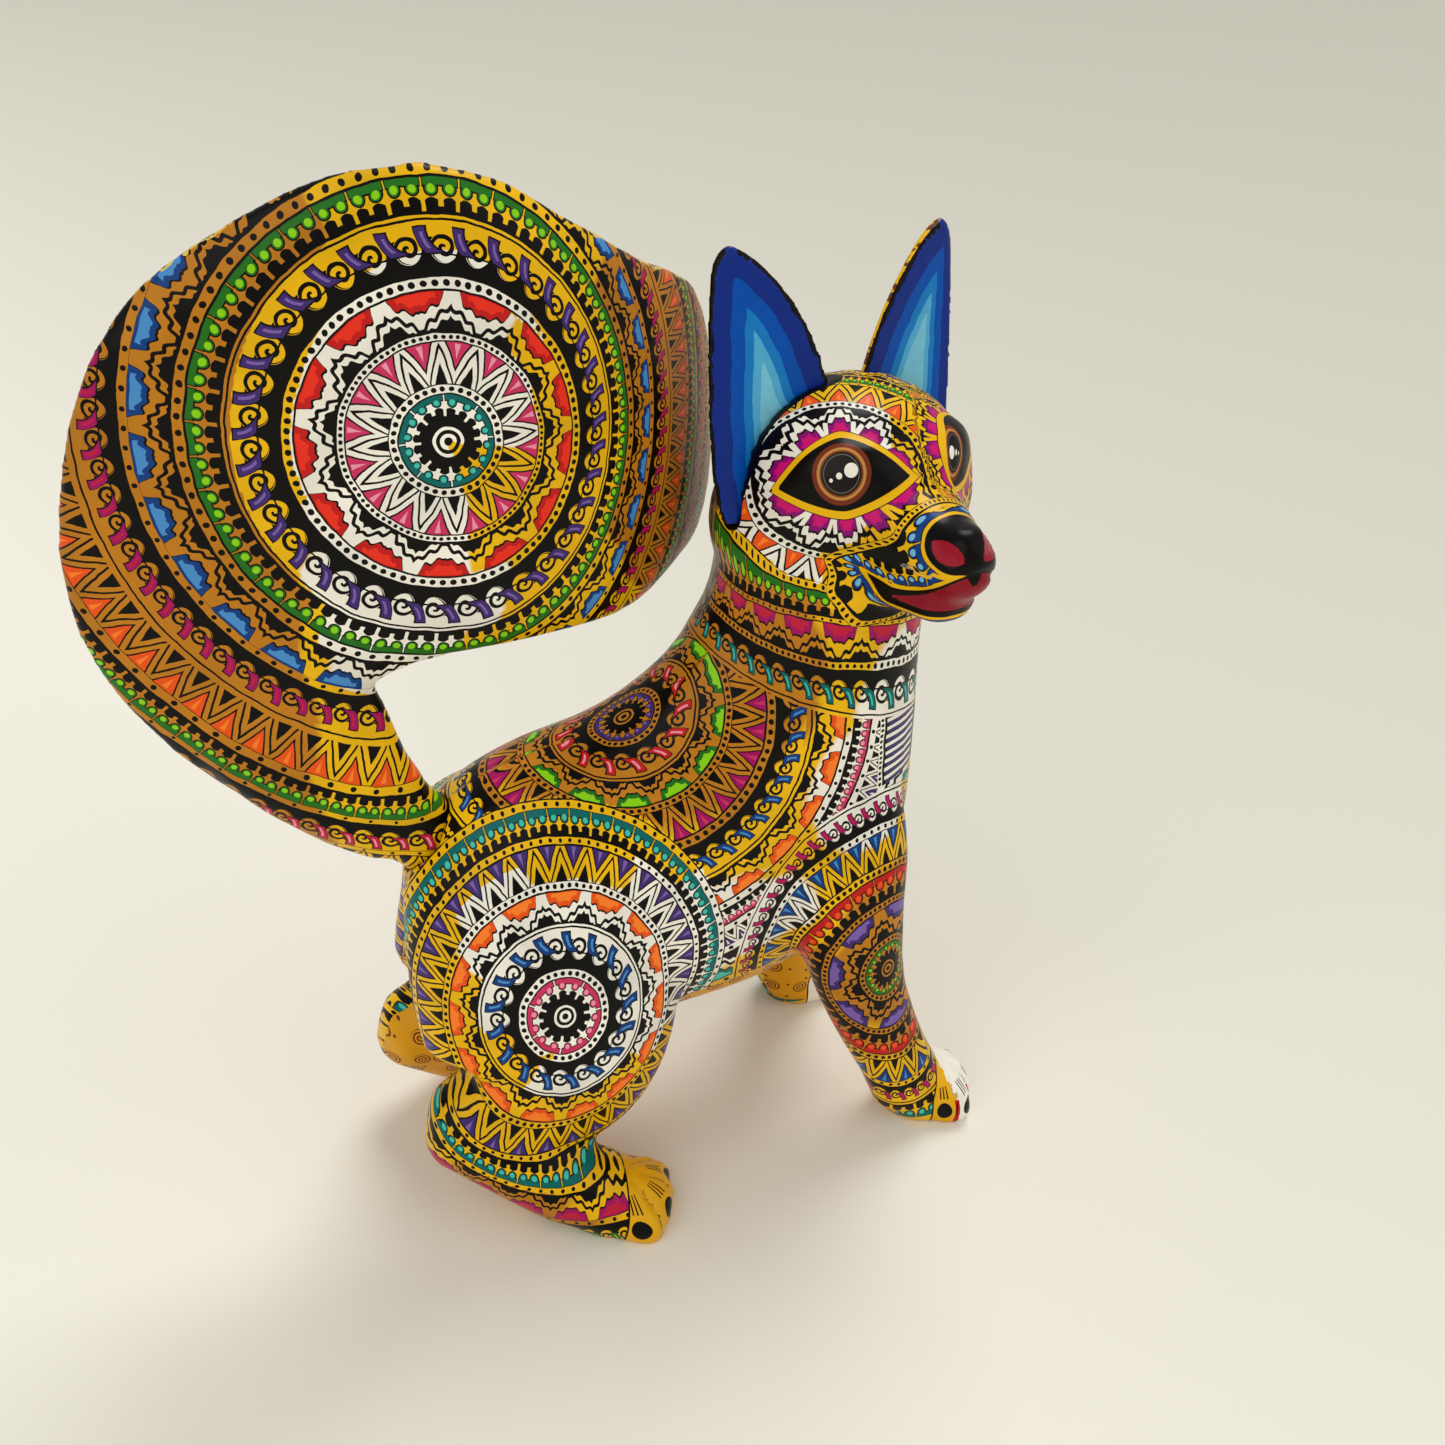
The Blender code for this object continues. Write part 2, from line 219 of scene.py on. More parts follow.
def joined(*values):
    node = tree_of(values).nodes.new("ShaderNodeCombineXYZ")
    for socket, value in zip(node.inputs, values):
        feed(socket, value)
    return Field(node.outputs[0])


def stored(tree, name):
    """The three numbers that the mesh carries under this name."""
    node = tree.nodes.new("ShaderNodeAttribute")
    node.attribute_name = name
    return parts_of(Field(node.outputs["Vector"]))


def noise(place, scale, detail=1.0, roughness=0.5):
    """Soft noise, as a colour field of three numbers and as one number, both about 0.5."""
    node = place.socket.id_data.nodes.new("ShaderNodeTexNoise")
    feed(node.inputs["Vector"], place)
    node.inputs["Scale"].default_value = scale
    node.inputs["Detail"].default_value = detail
    node.inputs["Roughness"].default_value = roughness
    return Field(node.outputs["Color"]), Field(node.outputs["Fac"])


def ramp(place, stops):
    """Steps of colour: each stop is a place from 0 to 1 and the red, green, blue and alpha from there on."""
    node = place.socket.id_data.nodes.new("ShaderNodeValToRGB")
    feed(node.inputs[0], place)
    table = node.color_ramp
    table.interpolation = "CONSTANT"
    while len(table.elements) < len(stops):
        table.elements.new(1.0)
    for element, (start, colour) in zip(table.elements, stops):
        element.position = start
        element.color = colour
    return Field(node.outputs["Color"]), Field(node.outputs["Alpha"])


def layers(*coats):
    """The paint on a spot, from the first coat to the last. A coat is a mask and what it lays."""
    paint = float(BASE)
    for mask, laid in coats:
        paint = pick(mask, paint, float(laid))
    return paint


def dots(at):
    """A strip between thin outlines, with a row of round dots."""
    outline = abs(at.off) > 0.5 - maths("MINIMUM", OUTLINE / at.wide, MOST_OUTLINE)
    dot = hypot(at.along * at.long, at.off * at.wide) < DOT_RADIUS * at.wide
    return layers((outline | dot, INK))


def line(at):
    """A plain strip with one thin line in its middle."""
    return layers((abs(at.off) * at.wide < LINE_HALF, INK))


def zigzag(at):
    """A zigzag strip with a line in its middle, black triangles inside it and coloured ones outside."""
    across = abs(at.along)
    rise = at.out - across * 2
    middle = abs(rise + 0.1) < 0.075
    inside = rise < -0.5
    outside = rise > 0.27
    colour = rise > 0.38
    bright = (at.out - across * 4.6 > 0.58) & (at.out < 0.95)
    return layers((middle | inside | outside, INK), (colour, FILL), (bright, LIGHT))


def fret(at):
    """Stepped black mounds inside, a stepped line over them and ragged clouds outside."""
    across = abs(at.along)
    step = across * STEPS
    stair = (step - STEP_CUT / TAU * sine(step * TAU)) / STEPS
    slope = (1.0 - STEP_CUT * maths("COSINE", step * TAU)) * at.wide / at.long
    crest = 0.06 + stair * 1.1
    over = (abs(at.out - crest) < hypot(1.0, slope) * 0.05) | (at.out < 0.05)
    mound = at.out < crest - 0.2
    edge = 0.48 + across * 0.75 + (across > 0.33) * (across - 0.33) * 4.0 + sine(across * 33.0 + 1.0) * 0.05
    rim = (at.out > edge - 0.065) & (across < 0.46)
    cloud = (at.out > edge) & (across < 0.44)
    core = (at.out > edge + 0.15) & (across < 0.27) & (at.out < 0.96)
    return layers((over | mound | rim, INK), (cloud, FILL), (core, LIGHT))


def scroll(at):
    """Curling waves on black. Each holds a spiral and has a curved bar before it."""
    below = 0.92 - at.out
    left = (-0.445 + 0.061 * below + 0.59 * below * below) / WAVE
    across = (fract(-at.along - left) + left) * WAVE
    curl_across, curl_up = CURL
    up = at.out - curl_up
    up = up * (1.0 - 0.14 * (up < 0.0))
    away = hypot(across - curl_across, up)
    turn = maths("ARCTAN2", up, across - curl_across) / TAU
    ground = (at.out < 0.76) & (away > 0.28)
    spiral = (fract(away / 0.19 - turn + 0.35) < 0.46) & (away < 0.27)
    bend_across, bend_up, radius = BEND
    bend = hypot(across - bend_across, at.out - bend_up) - radius
    end = abs(at.out - 0.7)
    rim = (abs(bend) < 0.138) & (end < 0.285)
    bar = (abs(bend) < 0.1) & (end < 0.25)
    gleam = (abs(bend + 0.02) < 0.03) & (end < 0.16)
    return layers((ground | spiral | rim, INK), (bar, FILL), (gleam, LIGHT))


def comb(at):
    """Coloured blocks outside, from each of which two light beads hang, and notched black blocks inside."""
    across = abs(at.along)
    beside = abs(across - 0.25)
    drop = hypot(beside * at.long / at.wide, at.out - 0.67)
    block = (at.out > 0.76) & (across < 0.45)
    rim = (drop < 0.22) | ((at.out > 0.71) & (across < 0.48))
    tooth = (at.out < 0.44 - beside * beside * 2.6) & (across < 0.44)
    notch = (across < 0.075) & (at.out > 0.2)
    dark = rim | tooth | (at.out < 0.07)
    pale = notch & (at.out < 0.5)
    return layers((dark, INK), (pale, BASE), (block | (drop < 0.17), FILL), (drop < 0.12, LIGHT))


def stripes(at):
    """Pale and dark strokes side by side."""
    dark = (abs(at.along) > 0.22) | (abs(at.off) > 0.46)
    return layers((dark, INK), ((abs(at.along) > 0.3) & (abs(at.off) < 0.42), FILL))


def gear(at):
    """A round eye of rings on black."""
    return layers(((at.out < 0.17) | (abs(at.out - 0.41) < 0.08) | (at.out > 0.62), INK))


def solid(at):
    """The band's first colour all over."""
    return layers((at.wide > 0.0, FILL))


# What draws each motif, and how long a cell of it is, in widths of its band
MOTIFS = {
    DOTS: (dots, 0.78),
    LINE: (line, 4),
    ZIGZAG: (zigzag, 0.76),
    FRET: (fret, 1.55),
    SCROLL: (scroll, 0.73),
    COMB: (comb, 1.05),
    GEAR: (gear, 1),
    SOLID: (solid, 2),
    STRIPES: (stripes, 1),
}


class Zone:
    """An area painted in rings. A band is its outer edge in millimetres and its motif, then two colours where
    they aren't black, and last the number of its cells where that doesn't follow from its size.

    Without a girth the rings are round a centre. With one they run round a limb of that girth.
    A motif with FLIPPED added has its coloured side inwards."""

    def __init__(self, name, bands, girth=None, start=0.0):
        self.name = name
        self.girth = girth
        self.reach = bands[-1][0]
        self.places, self.fills, self.lights = [], [], []
        inner = start
        for outer, motif, *more in bands:
            fill, light, *cells = more or (BLACK_INK, BLACK_INK)
            inner, outer = (round(edge / self.reach * RAMP_STEPS) for edge in (inner, outer))
            middle = (inner + outer) / 2 / RAMP_STEPS * self.reach
            wide = (outer - inner) / RAMP_STEPS * self.reach
            around = girth or TAU * middle
            _, length = MOTIFS[int(motif)]
            count = cells[0] if cells else max(3, round(around / (wide * length)))
            at = max(0.0, (inner - 0.5) / RAMP_STEPS)
            share = min(1.0, count / MOST_CELLS)
            place = [inner / RAMP_STEPS, (outer - inner) / RAMP_STEPS, motif / MOST_MOTIFS, share]
            self.places.append((at, place))
            self.fills.append((at, linear(fill)))
            self.lights.append((at, linear(light)))
            inner = outer / RAMP_STEPS * self.reach

    def read(self, tree, wobble):
        """The zone's facts at a spot: its border, its ring and turn, its band and the band's colours."""
        across, up, border = stored(tree, self.name)
        across = across + wobble[0]
        up = up + wobble[1]
        ring = hypot(across, up)
        turn = maths("ARCTAN2", up, across) / TAU
        share = ring / self.reach
        place, count = ramp(share, self.places)
        fill, _ = ramp(share, self.fills)
        light, _ = ramp(share, self.lights)
        start, wide, motif = parts_of(place)
        girth = self.girth or ring * TAU
        spot = joined(ring - start * self.reach, wide * self.reach, turn)
        kind = joined(motif * MOST_MOTIFS, count * MOST_CELLS, girth)
        return SimpleNamespace(inside=border < 0.0, spot=spot, kind=kind, fill=fill, light=light)


def soft(depth):
    """A mask that grows from 0 to 1 where a depth passes 0, like paint that is brushed out."""
    return maths("MINIMUM", maths("MAXIMUM", depth * 5.0 + 0.5, 0.0), 1.0)


def shaded(colour, tone):
    """A colour made lighter or darker by a tone, which leaves it as it is at 0.5."""
    return cover(1.0, colour, joined(tone, tone, tone) * 2.0, "MULTIPLY")


def patterned(tree, zones, place):
    """The painted colour of a piece whose mesh carries its zones, the last of which lies on top."""
    drift, _ = noise(place, 170.0, 3.0)
    shake_across, shake_up, shake_tone = parts_of(drift)
    wobble = ((shake_across - 0.5) * WOBBLE, (shake_up - 0.5) * WOBBLE)
    found = None
    for zone in zones:
        facts = zone.read(tree, wobble)
        if found is None:
            found = facts
            continue
        for name, kind in (("spot", "VECTOR"), ("kind", "VECTOR"), ("fill", "RGBA"), ("light", "RGBA")):
            setattr(found, name, mixed(kind, facts.inside, getattr(found, name), getattr(facts, name)))
    depth, wide, turn = parts_of(found.spot)
    motif, count, girth = parts_of(found.kind)
    # Where a spot is in its cell: along it from the middle, out from the band's inner edge and off its middle
    out = depth / wide
    out = pick(fract(motif + 0.25) > 0.5, out, 1.0 - out)
    along = fract(turn * count) - 0.5
    at = SimpleNamespace(along=along, off=out - 0.5, out=out, wide=wide, long=girth / count)
    paint = float(BASE)
    for number, (draw, _) in MOTIFS.items():
        paint = pick(abs(motif - float(number) - 0.25) < 0.4, paint, draw(at))

    patch, _, _ = stored(tree, "patch")
    shift = fract(sine(wide * 37.0 + motif * 7.0) * 43.0) - 0.5
    patch = patch + shift * 0.5 + (shake_tone - 0.5) * 0.12
    colour = cover(soft(patch - 0.5), YELLOW, WHITE)
    colour = cover(soft(-0.5 - patch), colour, OCHRE)
    _, tone = noise(place, 60.0, 2.0)
    colour = cover(0.3, colour, shaded(colour, tone))
    colour = cover(abs(paint - float(FILL)) < 0.5, colour, found.fill)
    colour = cover(abs(paint - float(LIGHT)) < 0.5, colour, found.light)
    return cover(paint > 2.5, colour, BLACK_INK)


VARNISH = {"Specular IOR Level": 0.11, "Coat Weight": 0.05, "Coat Roughness": 0.12}


def finish_shader(tree, colour, place):
    """Joins the painted colour to a satin varnish with faint brush and knife marks."""
    shader = tree.nodes["Principled BSDF"]
    feed(shader.inputs["Base Color"], colour)
    _, grain = noise(place, 900.0, 2.0)
    _, pools = noise(place, 90.0, 2.0)
    feed(shader.inputs["Roughness"], 0.2 + grain * 0.1 + pools * 0.14)
    for name, value in VARNISH.items():
        shader.inputs[name].default_value = value
    bump = tree.nodes.new("ShaderNodeBump")
    bump.inputs["Strength"].default_value = 0.25
    bump.inputs["Distance"].default_value = 0.0004
    _, knife = noise(place, 220.0, 3.0)
    feed(bump.inputs["Height"], knife + grain * 0.15)
    tree.links.new(bump.outputs["Normal"], shader.inputs["Normal"])


def new_material(name):
    """A material, its node tree and the surface's place in metres."""
    material = bpy.data.materials.new(name)
    material.use_nodes = True
    tree = material.node_tree
    place = Field(tree.nodes.new("ShaderNodeTexCoord").outputs["Object"])
    return material, tree, place


# How far a pass of smoothing pulls points towards their neighbours, and pushes them back
PULL, PUSH = 0.6, -0.62


def rows_of(mesh, name):
    """One row of three numbers a vertex: its place or its normal."""
    flat = np.zeros(len(mesh.vertices) * 3, np.float32)
    mesh.vertices.foreach_get(name, flat)
    return flat.reshape(-1, 3).astype(float)


def smoothed(mesh, passes):
    """Evens out the facets of a mesh. Each pass pulls its points in and then pushes them out again."""
    ends = np.zeros(len(mesh.edges) * 2, np.int32)
    mesh.edges.foreach_get("vertices", ends)
    one, other = ends.reshape(-1, 2).T
    count = len(mesh.vertices)
    near = np.bincount(one, minlength=count) + np.bincount(other, minlength=count)
    points = rows_of(mesh, "co")
    for pull in (PULL, PUSH) * passes:
        sums = [np.bincount(one, row[other], count) + np.bincount(other, row[one], count) for row in points.T]
        points += pull * (np.stack(sums, -1) / near[:, None] - points)
    mesh.vertices.foreach_set("co", points.astype(np.float32).ravel())


def carved(node, name, voxel, passes):
    """A fine smooth mesh over one CAD solid, which it stands for."""
    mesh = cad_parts[node].data.copy()
    cleaner = bmesh.new()
    cleaner.from_mesh(mesh)
    bmesh.ops.remove_doubles(cleaner, verts=cleaner.verts, dist=0.01 * MM)
    cleaner.to_mesh(mesh)
    cleaner.free()
    mesh.materials.clear()
    rough = bpy.data.objects.new(name, mesh)
    bpy.context.scene.collection.objects.link(rough)
    remesh = rough.modifiers.new("Remesh", "REMESH")
    remesh.mode = "VOXEL"
    remesh.voxel_size = voxel * MM
    evaluated = rough.evaluated_get(bpy.context.evaluated_depsgraph_get())
    fine = bpy.data.meshes.new_from_object(evaluated)
    rough.modifiers.clear()
    rough.data = fine
    bpy.data.meshes.remove(mesh)
    fine.name = name
    smoothed(fine, passes)
    fine.shade_smooth()
    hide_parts(node)
    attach(rough, "root")
    return rough


def points_of(piece):
    """The piece's vertices in millimetres."""
    return rows_of(piece.data, "co") / MM


def normals_of(piece):
    return rows_of(piece.data, "normal")


def carve_in(piece, depth):
    """Presses the surface in by a depth in millimetres at each of its points."""
    moved = (points_of(piece) - normals_of(piece) * depth[:, None]) * MM
    piece.data.vertices.foreach_set("co", moved.astype(np.float32).ravel())
    piece.data.update()


def nearest(way, nails):
    """Degrees from the nearest nail, and from the nearest gap between two nails."""
    nails = np.array(nails)
    gaps = (nails[1:] + nails[:-1]) / 2
    off = []
    for marks in (nails, gaps):
        apart = way[:, None] - marks
        off.append(np.take_along_axis(apart, np.abs(apart).argmin(1)[:, None], 1)[:, 0])
    return off


def store(piece, name, columns):
    """Keeps three numbers a vertex on the mesh, for the paint to read."""
    attribute = piece.data.attributes.new(name, "FLOAT_VECTOR", "POINT")
    rows = np.stack([np.broadcast_to(c, len(piece.data.vertices)) for c in columns], -1)
    attribute.data.foreach_set("vector", rows.astype(np.float32).ravel())


def store_rings(piece, name, ring, turn, border):
    """Keeps a zone on the mesh: two numbers whose length is the ring and angle the turn, and a border."""
    store(piece, name, (ring * np.cos(turn), ring * np.sin(turn), border))


def patches(points, blobs):
    """How pale the base paint is at each point: over 0.5 white, under -0.5 ochre, yellow between."""
    total = np.zeros(len(points))
    for centre, spread, weight in blobs:
        total += weight * np.exp(-((points - centre) ** 2).sum(-1) / (2 * spread**2))
    return np.clip(total, -1.5, 1.5)


def white_fan(ring, turn, table):
    """How strongly the base paint changes in a fan. A row is a ring, the fan's middle and its half width."""
    rings, middles, halves = np.array(table).T
    off = np.abs((turn - np.interp(ring, rings, middles) + 180.0) % 360.0 - 180.0)
    return np.clip((np.interp(ring, rings, halves) - off) * 0.12, 0.0, 1.3)


# The tail
TAIL_HUB = (-26.5, -8.5, 220.2)
TAIL_BANDS = [
    (5.2, GEAR, WHITE, WHITE, 9),
    (10.2, COMB, TEAL, AQUA, 8),
    (12.6, DOTS),
    (21.4, ZIGZAG, PINK, ROSE),
    (23.6, DOTS),
    (32, FRET, RED, SCARLET),
    (34.6, DOTS),
    (44.6, SCROLL, PURPLE, LILAC),
    (46.6, LINE),
    (53.6, COMB, GREEN, LIME),
    (56.5, DOTS),
    (64.6, FRET, NAVY, AZURE),
    (67.4, DOTS),
    (75.6, SCROLL, MAGENTA, CRIMSON),
    (78.6, LINE),
    (88, ZIGZAG, ORANGE, AMBER),
    (91, DOTS),
    (97, COMB, GREEN, LIME),
    (99, DOTS),
    (107, SCROLL, CRIMSON, ROSE),
    (109, DOTS),
    (117, ZIGZAG, TEAL, AQUA),
    (119, DOTS),
    (125, LINE),
]
CROWN_RING = 57.0
# Where the base paint is white or ochre: a ring, the middle of a fan and its half width in degrees
TAIL_WHITE = [
    (0, 135, 150),
    (21.2, 135, 150),
    (21.8, 150, 130),
    (23.2, 150, 130),
    (23.8, 165, 112),
    (31.8, 165, 112),
    (32.4, 245, 48),
    (34.4, 245, 48),
    (34.8, 250, 38),
    (46.4, 250, 34),
    (46.8, 250, 24),
    (56.4, 250, 20),
    (56.8, 250, 15),
    (64.6, 250, 13),
    (70, 250, -9),
]
TAIL_TIPS = [
    (31.9, 95, -9),
    (32.2, 95, 60),
    (36, 90, 30),
    (39, 88, 20),
    (40.5, 88, -9),
]
TAIL_OCHRES = [
    [
        (44, 170, -9),
        (46, 170, 60),
        (80, 175, 72),
        (130, 180, 80),
    ],
    [
        (50, 0, -9),
        (53, 0, 45),
        (120, 0, 60),
    ],
]


def paint_wear(tree, colour, place):
    """Chips along the crown of the tail, where the paint is worn to grey."""
    crown, _, _ = stored(tree, "wear")
    _, chips = noise(place, 240.0, 3.0, 0.6)
    worn = crown + (chips - 0.5) * 3.2
    colour = cover((crown > 0.0) & (worn > 0.45), colour, WORN_YELLOW)
    return cover((crown > 0.0) & (worn > 0.85), colour, WORN_GREY)


def tail():
    piece = carved("tail", "painted_tail", 0.95, 30)
    points = points_of(piece)
    away = points - TAIL_HUB
    ring = np.hypot(away[:, 0], away[:, 2])
    turn = np.arctan2(away[:, 2], away[:, 0])
    ring *= 1.0 + 0.45 * (ring / 60.0) ** 1.5 * np.clip(np.cos(turn), 0, 1) ** 2
    store_rings(piece, "fan", ring, turn, -1.0)
    degrees = np.degrees(turn)
    white = np.maximum(*(white_fan(ring, degrees, table) for table in (TAIL_WHITE, TAIL_TIPS)))
    ochre = np.maximum(*(white_fan(ring, degrees, table) for table in TAIL_OCHRES))
    store(piece, "patch", (white - ochre, 0.0, 0.0))
    crown = np.clip(ring - CROWN_RING, 0, 3) / 3 * np.clip(normals_of(piece)[:, 2] * 3 - 1.6, 0, 1)
    store(piece, "wear", (crown - 0.3, 0.0, 0.0))
    material, tree, place = new_material("tail_paint")
    colour = paint_wear(tree, patterned(tree, [Zone("fan", TAIL_BANDS)], place), place)
    finish_shader(tree, colour, place)
    piece.data.materials.append(material)


# The ears: the way that each one's front faces in degrees, whether its low side is the one by the other ear,
# by how much its painted front is turned from that side, and how much narrower the blues are by its high side
EARS = {"ear_right": (-95.0, False, 0.0, 1.0), "ear_left": (-60.0, True, 24.0, 1.45)}
EAR_FREE_HEIGHT = 221.0
EAR_ROWS = 60

# The body. Near is the side that the photograph shows, towards -y, and the middle is where the sides meet
MIDDLE = 4.0
HEAD = np.array((73.5, 3.5, 193.9))
FORWARD = np.array((0.2588, -0.9659, 0.0))
SIDEWAYS = np.array((0.9659, 0.2588, 0.0))
UP = np.array((0.0, 0.0, 1.0))

SADDLE_CENTRE = (11.6, -5.7, 140.4)
SADDLE_STRETCH = (1.0, 1.2, 1.0)
SADDLE_WAY = (0.9, 0.0, 0.43)
SADDLE_BANDS = [
    (4.4, GEAR, WHITE, WHITE, 9),
    (8.4, COMB, PURPLE, LILAC, 8),
    (10.7, DOTS),
    (18.6, SCROLL, RED, ROSE),
    (20.5, LINE),
    (26.8, FRET, GREEN, LIME),
    (29, DOTS),
    (37.6, ZIGZAG, MAGENTA, PINK),
    (40, DOTS),
    (48, SCROLL, NAVY, AZURE),
    (50, LINE),
    (57.5, FRET, ORANGE, AMBER),
    (60, DOTS),
    (64.5, COMB, PINK, ROSE),
    (66.5, DOTS),
    (71, ZIGZAG, PURPLE, WHITE),
    (73.5, DOTS),
    (83, FRET, TEAL, AQUA),
    (86, DOTS),
    (96, SCROLL, RED, ROSE),
    (140, LINE),
]
HAUNCH_CENTRES = ((-13.0, -39.9, 74.8), (-25.0, 40.0, 74.8))
HAUNCH_STRETCH = (1.15, 1.0, 0.95)
HAUNCH_BANDS = [
    (5.4, GEAR, WHITE, WHITE, 10),
    (10.8, COMB, PINK, ROSE, 7),
    (13.6, DOTS),
    (23.2, SCROLL, NAVY, AZURE),
    (25.2, LINE),
    (33, FRET, ORANGE, AMBER),
    (35.6, DOTS),
    (43.6, ZIGZAG, PURPLE, LILAC, 34),
    (46, DOTS),
    (51.8, COMB, TEAL, AQUA),
    (54.4, DOTS),
    (62.6, FRET, MAGENTA, CRIMSON),
    (64.8, DOTS),
    (72.4, SCROLL, GREEN, LIME),
    (74.4, LINE),
    (90, COMB, TEAL, AQUA),
]
# How far out the haunch's rings go above the foot, and the foot: below this height and behind this place
HAUNCH_REACH = 54.4
REAR_FOOT = (42.0, 30.0)
# Above the heel the rings are spread by a share that changes with the ring, about one way round in degrees
HEEL_RINGS = (24.0, 45.0, 60.0)
HEEL_SPREADS = (0.0, 0.1, 0.02)
HEEL_TURN = -122.0
HEEL_WIDTH = 30.0
HAUNCH_WHITE = [
    (0, 65, 181),
    (13, 65, 181),
    (14, 32, 160),
    (25, 32, 160),
    (25.4, 55, 98),
    (35.4, 55, 98),
    (35.8, 14, 44),
    (46, 14, 44),
    (46.4, 4, 36),
    (60, 4, 36),
]
HAUNCH_TIPS = [
    (34, 118, -9),
    (35, 118, 24),
    (40.5, 118, 22),
    (41.5, 118, -9),
]
SHOULDER_CENTRES = ((79.0, -29.6, 62.8), (64.0, 36.0, 62.8))
SHOULDER_STRETCH = (1.25, 1.0, 1.0)
SHOULDER_BANDS = [
    (4.6, GEAR, WHITE, WHITE, 9),
    (8.8, COMB, GREEN, LIME, 8),
    (11.2, DOTS),
    (21, FRET, PURPLE, LILAC),
    (23.4, DOTS),
    (31, COMB, RED, ORANGE),
    (34, DOTS),
    (43, ZIGZAG, NAVY, AZURE),
    (45.5, DOTS),
    (52, SCROLL, MAGENTA, CRIMSON),
    (54, LINE),
    (62, COMB, TEAL, AQUA),
]
SHOULDER_REACH = 54.0
SHOULDER_FOOT = 30.0
# The collar goes round the neck below a height. Its rings are finer near the head and tilt further down
NECK = (58.0, 5.0)
COLLAR_GIRTH = 190.0
COLLAR_TOP = 192.0
COLLAR_TILT = 0.137
COLLAR_EVEN = 46.0
COLLAR_FINE = 40.3
COLLAR_START = 30.5
HEAD_REACH = 34.2
COLLAR_BANDS = [
    (32.6, DOTS, BLACK_INK, BLACK_INK, 80),
    (38.6, COMB + FLIPPED, GREEN, LIME, 26),
    (40.3, DOTS, BLACK_INK, BLACK_INK, 80),
    (45.6, FRET + FLIPPED, MAGENTA, CRIMSON, 16),
    (47.6, DOTS),
    (56.2, SCROLL, TEAL, AQUA),
    (58.4, LINE),
]
# The eyes: the way and the rise of each from the middle of the head in degrees, and its almond. An almond
# is its middle across and up in millimetres, its tilt in degrees, half its length, both heights and bluntness
EYES = ((-39.0, 22.0), (27.0, 27.0))
ALMONDS = ((0.0, -0.7, 8.6, 16.4, 10.6, 6.9, 1.5), (-4.4, -0.8, -38.0, 11.3, 6.8, 4.6, 3.2))
IRISES = ((-0.4, 1.0, 0.0, 1.08), (1.0, -0.4, 35.0, 2.0))
HEAD_RADIUS = 30.0
RIM_WIDTH = 1.9
FAR_SPREAD = 1.5
CHEEK_END = 52.0
EYE_BANDS = [
    (10, SOLID),
    (22.6, FRET + FLIPPED, ORCHID, FUCHSIA, 10),
    (25.2, DOTS, BLACK_INK, BLACK_INK, 64),
    (34.2, ZIGZAG + FLIPPED, ORANGE, AMBER, 18),
    (35.6, DOTS, BLACK_INK, BLACK_INK, 62),
    (41.6, COMB + FLIPPED, GREEN, LIME),
    (43, DOTS),
    (52, FRET, PURPLE, LILAC),
    (54, DOTS),
    (63, ZIGZAG, TEAL, AQUA),
    (65, DOTS),
    (74, FRET, MAGENTA, CRIMSON),
    (76, DOTS),
    (84, ZIGZAG + FLIPPED, ORANGE, AMBER),
    (86, DOTS),
    (96, COMB, GREEN, LIME),
    (120, LINE),
]
# The muzzle, ahead of the middle of the head and above it. The nose is a ball end with a cleft below it
NOSE = (50.4, 5.9, 10.6)
CLEFT_FOOT = -8.4
CLEFT_TOP = 0.5
CLEFT_HALF = 2.2
CLEFT_FROM = 44.0
NOSTRILS = ((48.2, -6.4, 0.3), (48.8, 5.0, 0.3))
NOSTRIL_RADIUS = 3.5
# The lips run back from below the nose, bend up at one place and end at a round corner on each cheek
LIP_BEND = 33.0
LIP_TOP = -13.2
LIP_FOOT = -18.0
LIP_BACK = 32.0
LIP_END = 26.6
LIP_TIP = 47.0
RED_TOP = -15.5
RED_FOOT = -16.2
RED_END = 31.0
MOUTH_CORNER = (27.0, -11.0)
CORNER_RADIUS = 5.0
# The muzzle's edge steps forward over a height
MUZZLE_BACK = 20.3
MUZZLE_STEP = 14.5
STEP_FOOT = -10.0
STEP_HEIGHT = 11.0
MUZZLE_FOOT = -27.0
SNOUT_MIDDLE = -1.2
MUZZLE_GIRTH = 138.0
MUZZLE_LINE = 40.0
MUZZLE_BANDS = [
    (39.1, SOLID),
    (41.1, DOTS, BLACK_INK, BLACK_INK, 72),
]
LIPS_GIRTH = 100.0
LIPS_START = 20.0
LIPS_BANDS = [
    (20.85, SOLID, YELLOW, YELLOW),
    (21.1, SOLID),
    (26.2, COMB + FLIPPED, NAVY, SKY, 18),
]
# The striped panel on the chest, about a height
CHEST_GIRTH = 60.0
CHEST_START = 10.0
CHEST_HEIGHT = 128.0
CHEST_HALF = 11.0
CHEST_FROM = 76.2
CHEST_BANDS = [
    (12, DOTS),
    (24, STRIPES, PURPLE, PURPLE, 24),
]
# The worn nape ends above one height, and below the other no spot is near an ear
NAPE_FOOT = 161.0
EAR_LOWEST = 185.0
FAR_OFF = 50.0
# The irises, by the distance from the middle of the pupil, and the painted highlights on the eyes: across, up
# and radius
IRIS_RADIUS = 7.2
IRIS_REACH = 10.0
IRIS_RAMP = [
    (0, (26, 22, 20)),
    (4.15, (104, 98, 90)),
    (4.4, (26, 22, 20)),
    (4.85, (122, 62, 24)),
    (5.3, (196, 134, 66)),
    (6, (116, 48, 24)),
]
PAINTED_EYE_HIGHLIGHTS = ((2.3, 0.9, 1.65), (-0.5, -0.5, 0.75), (-2.4, -1.6, 0.45))

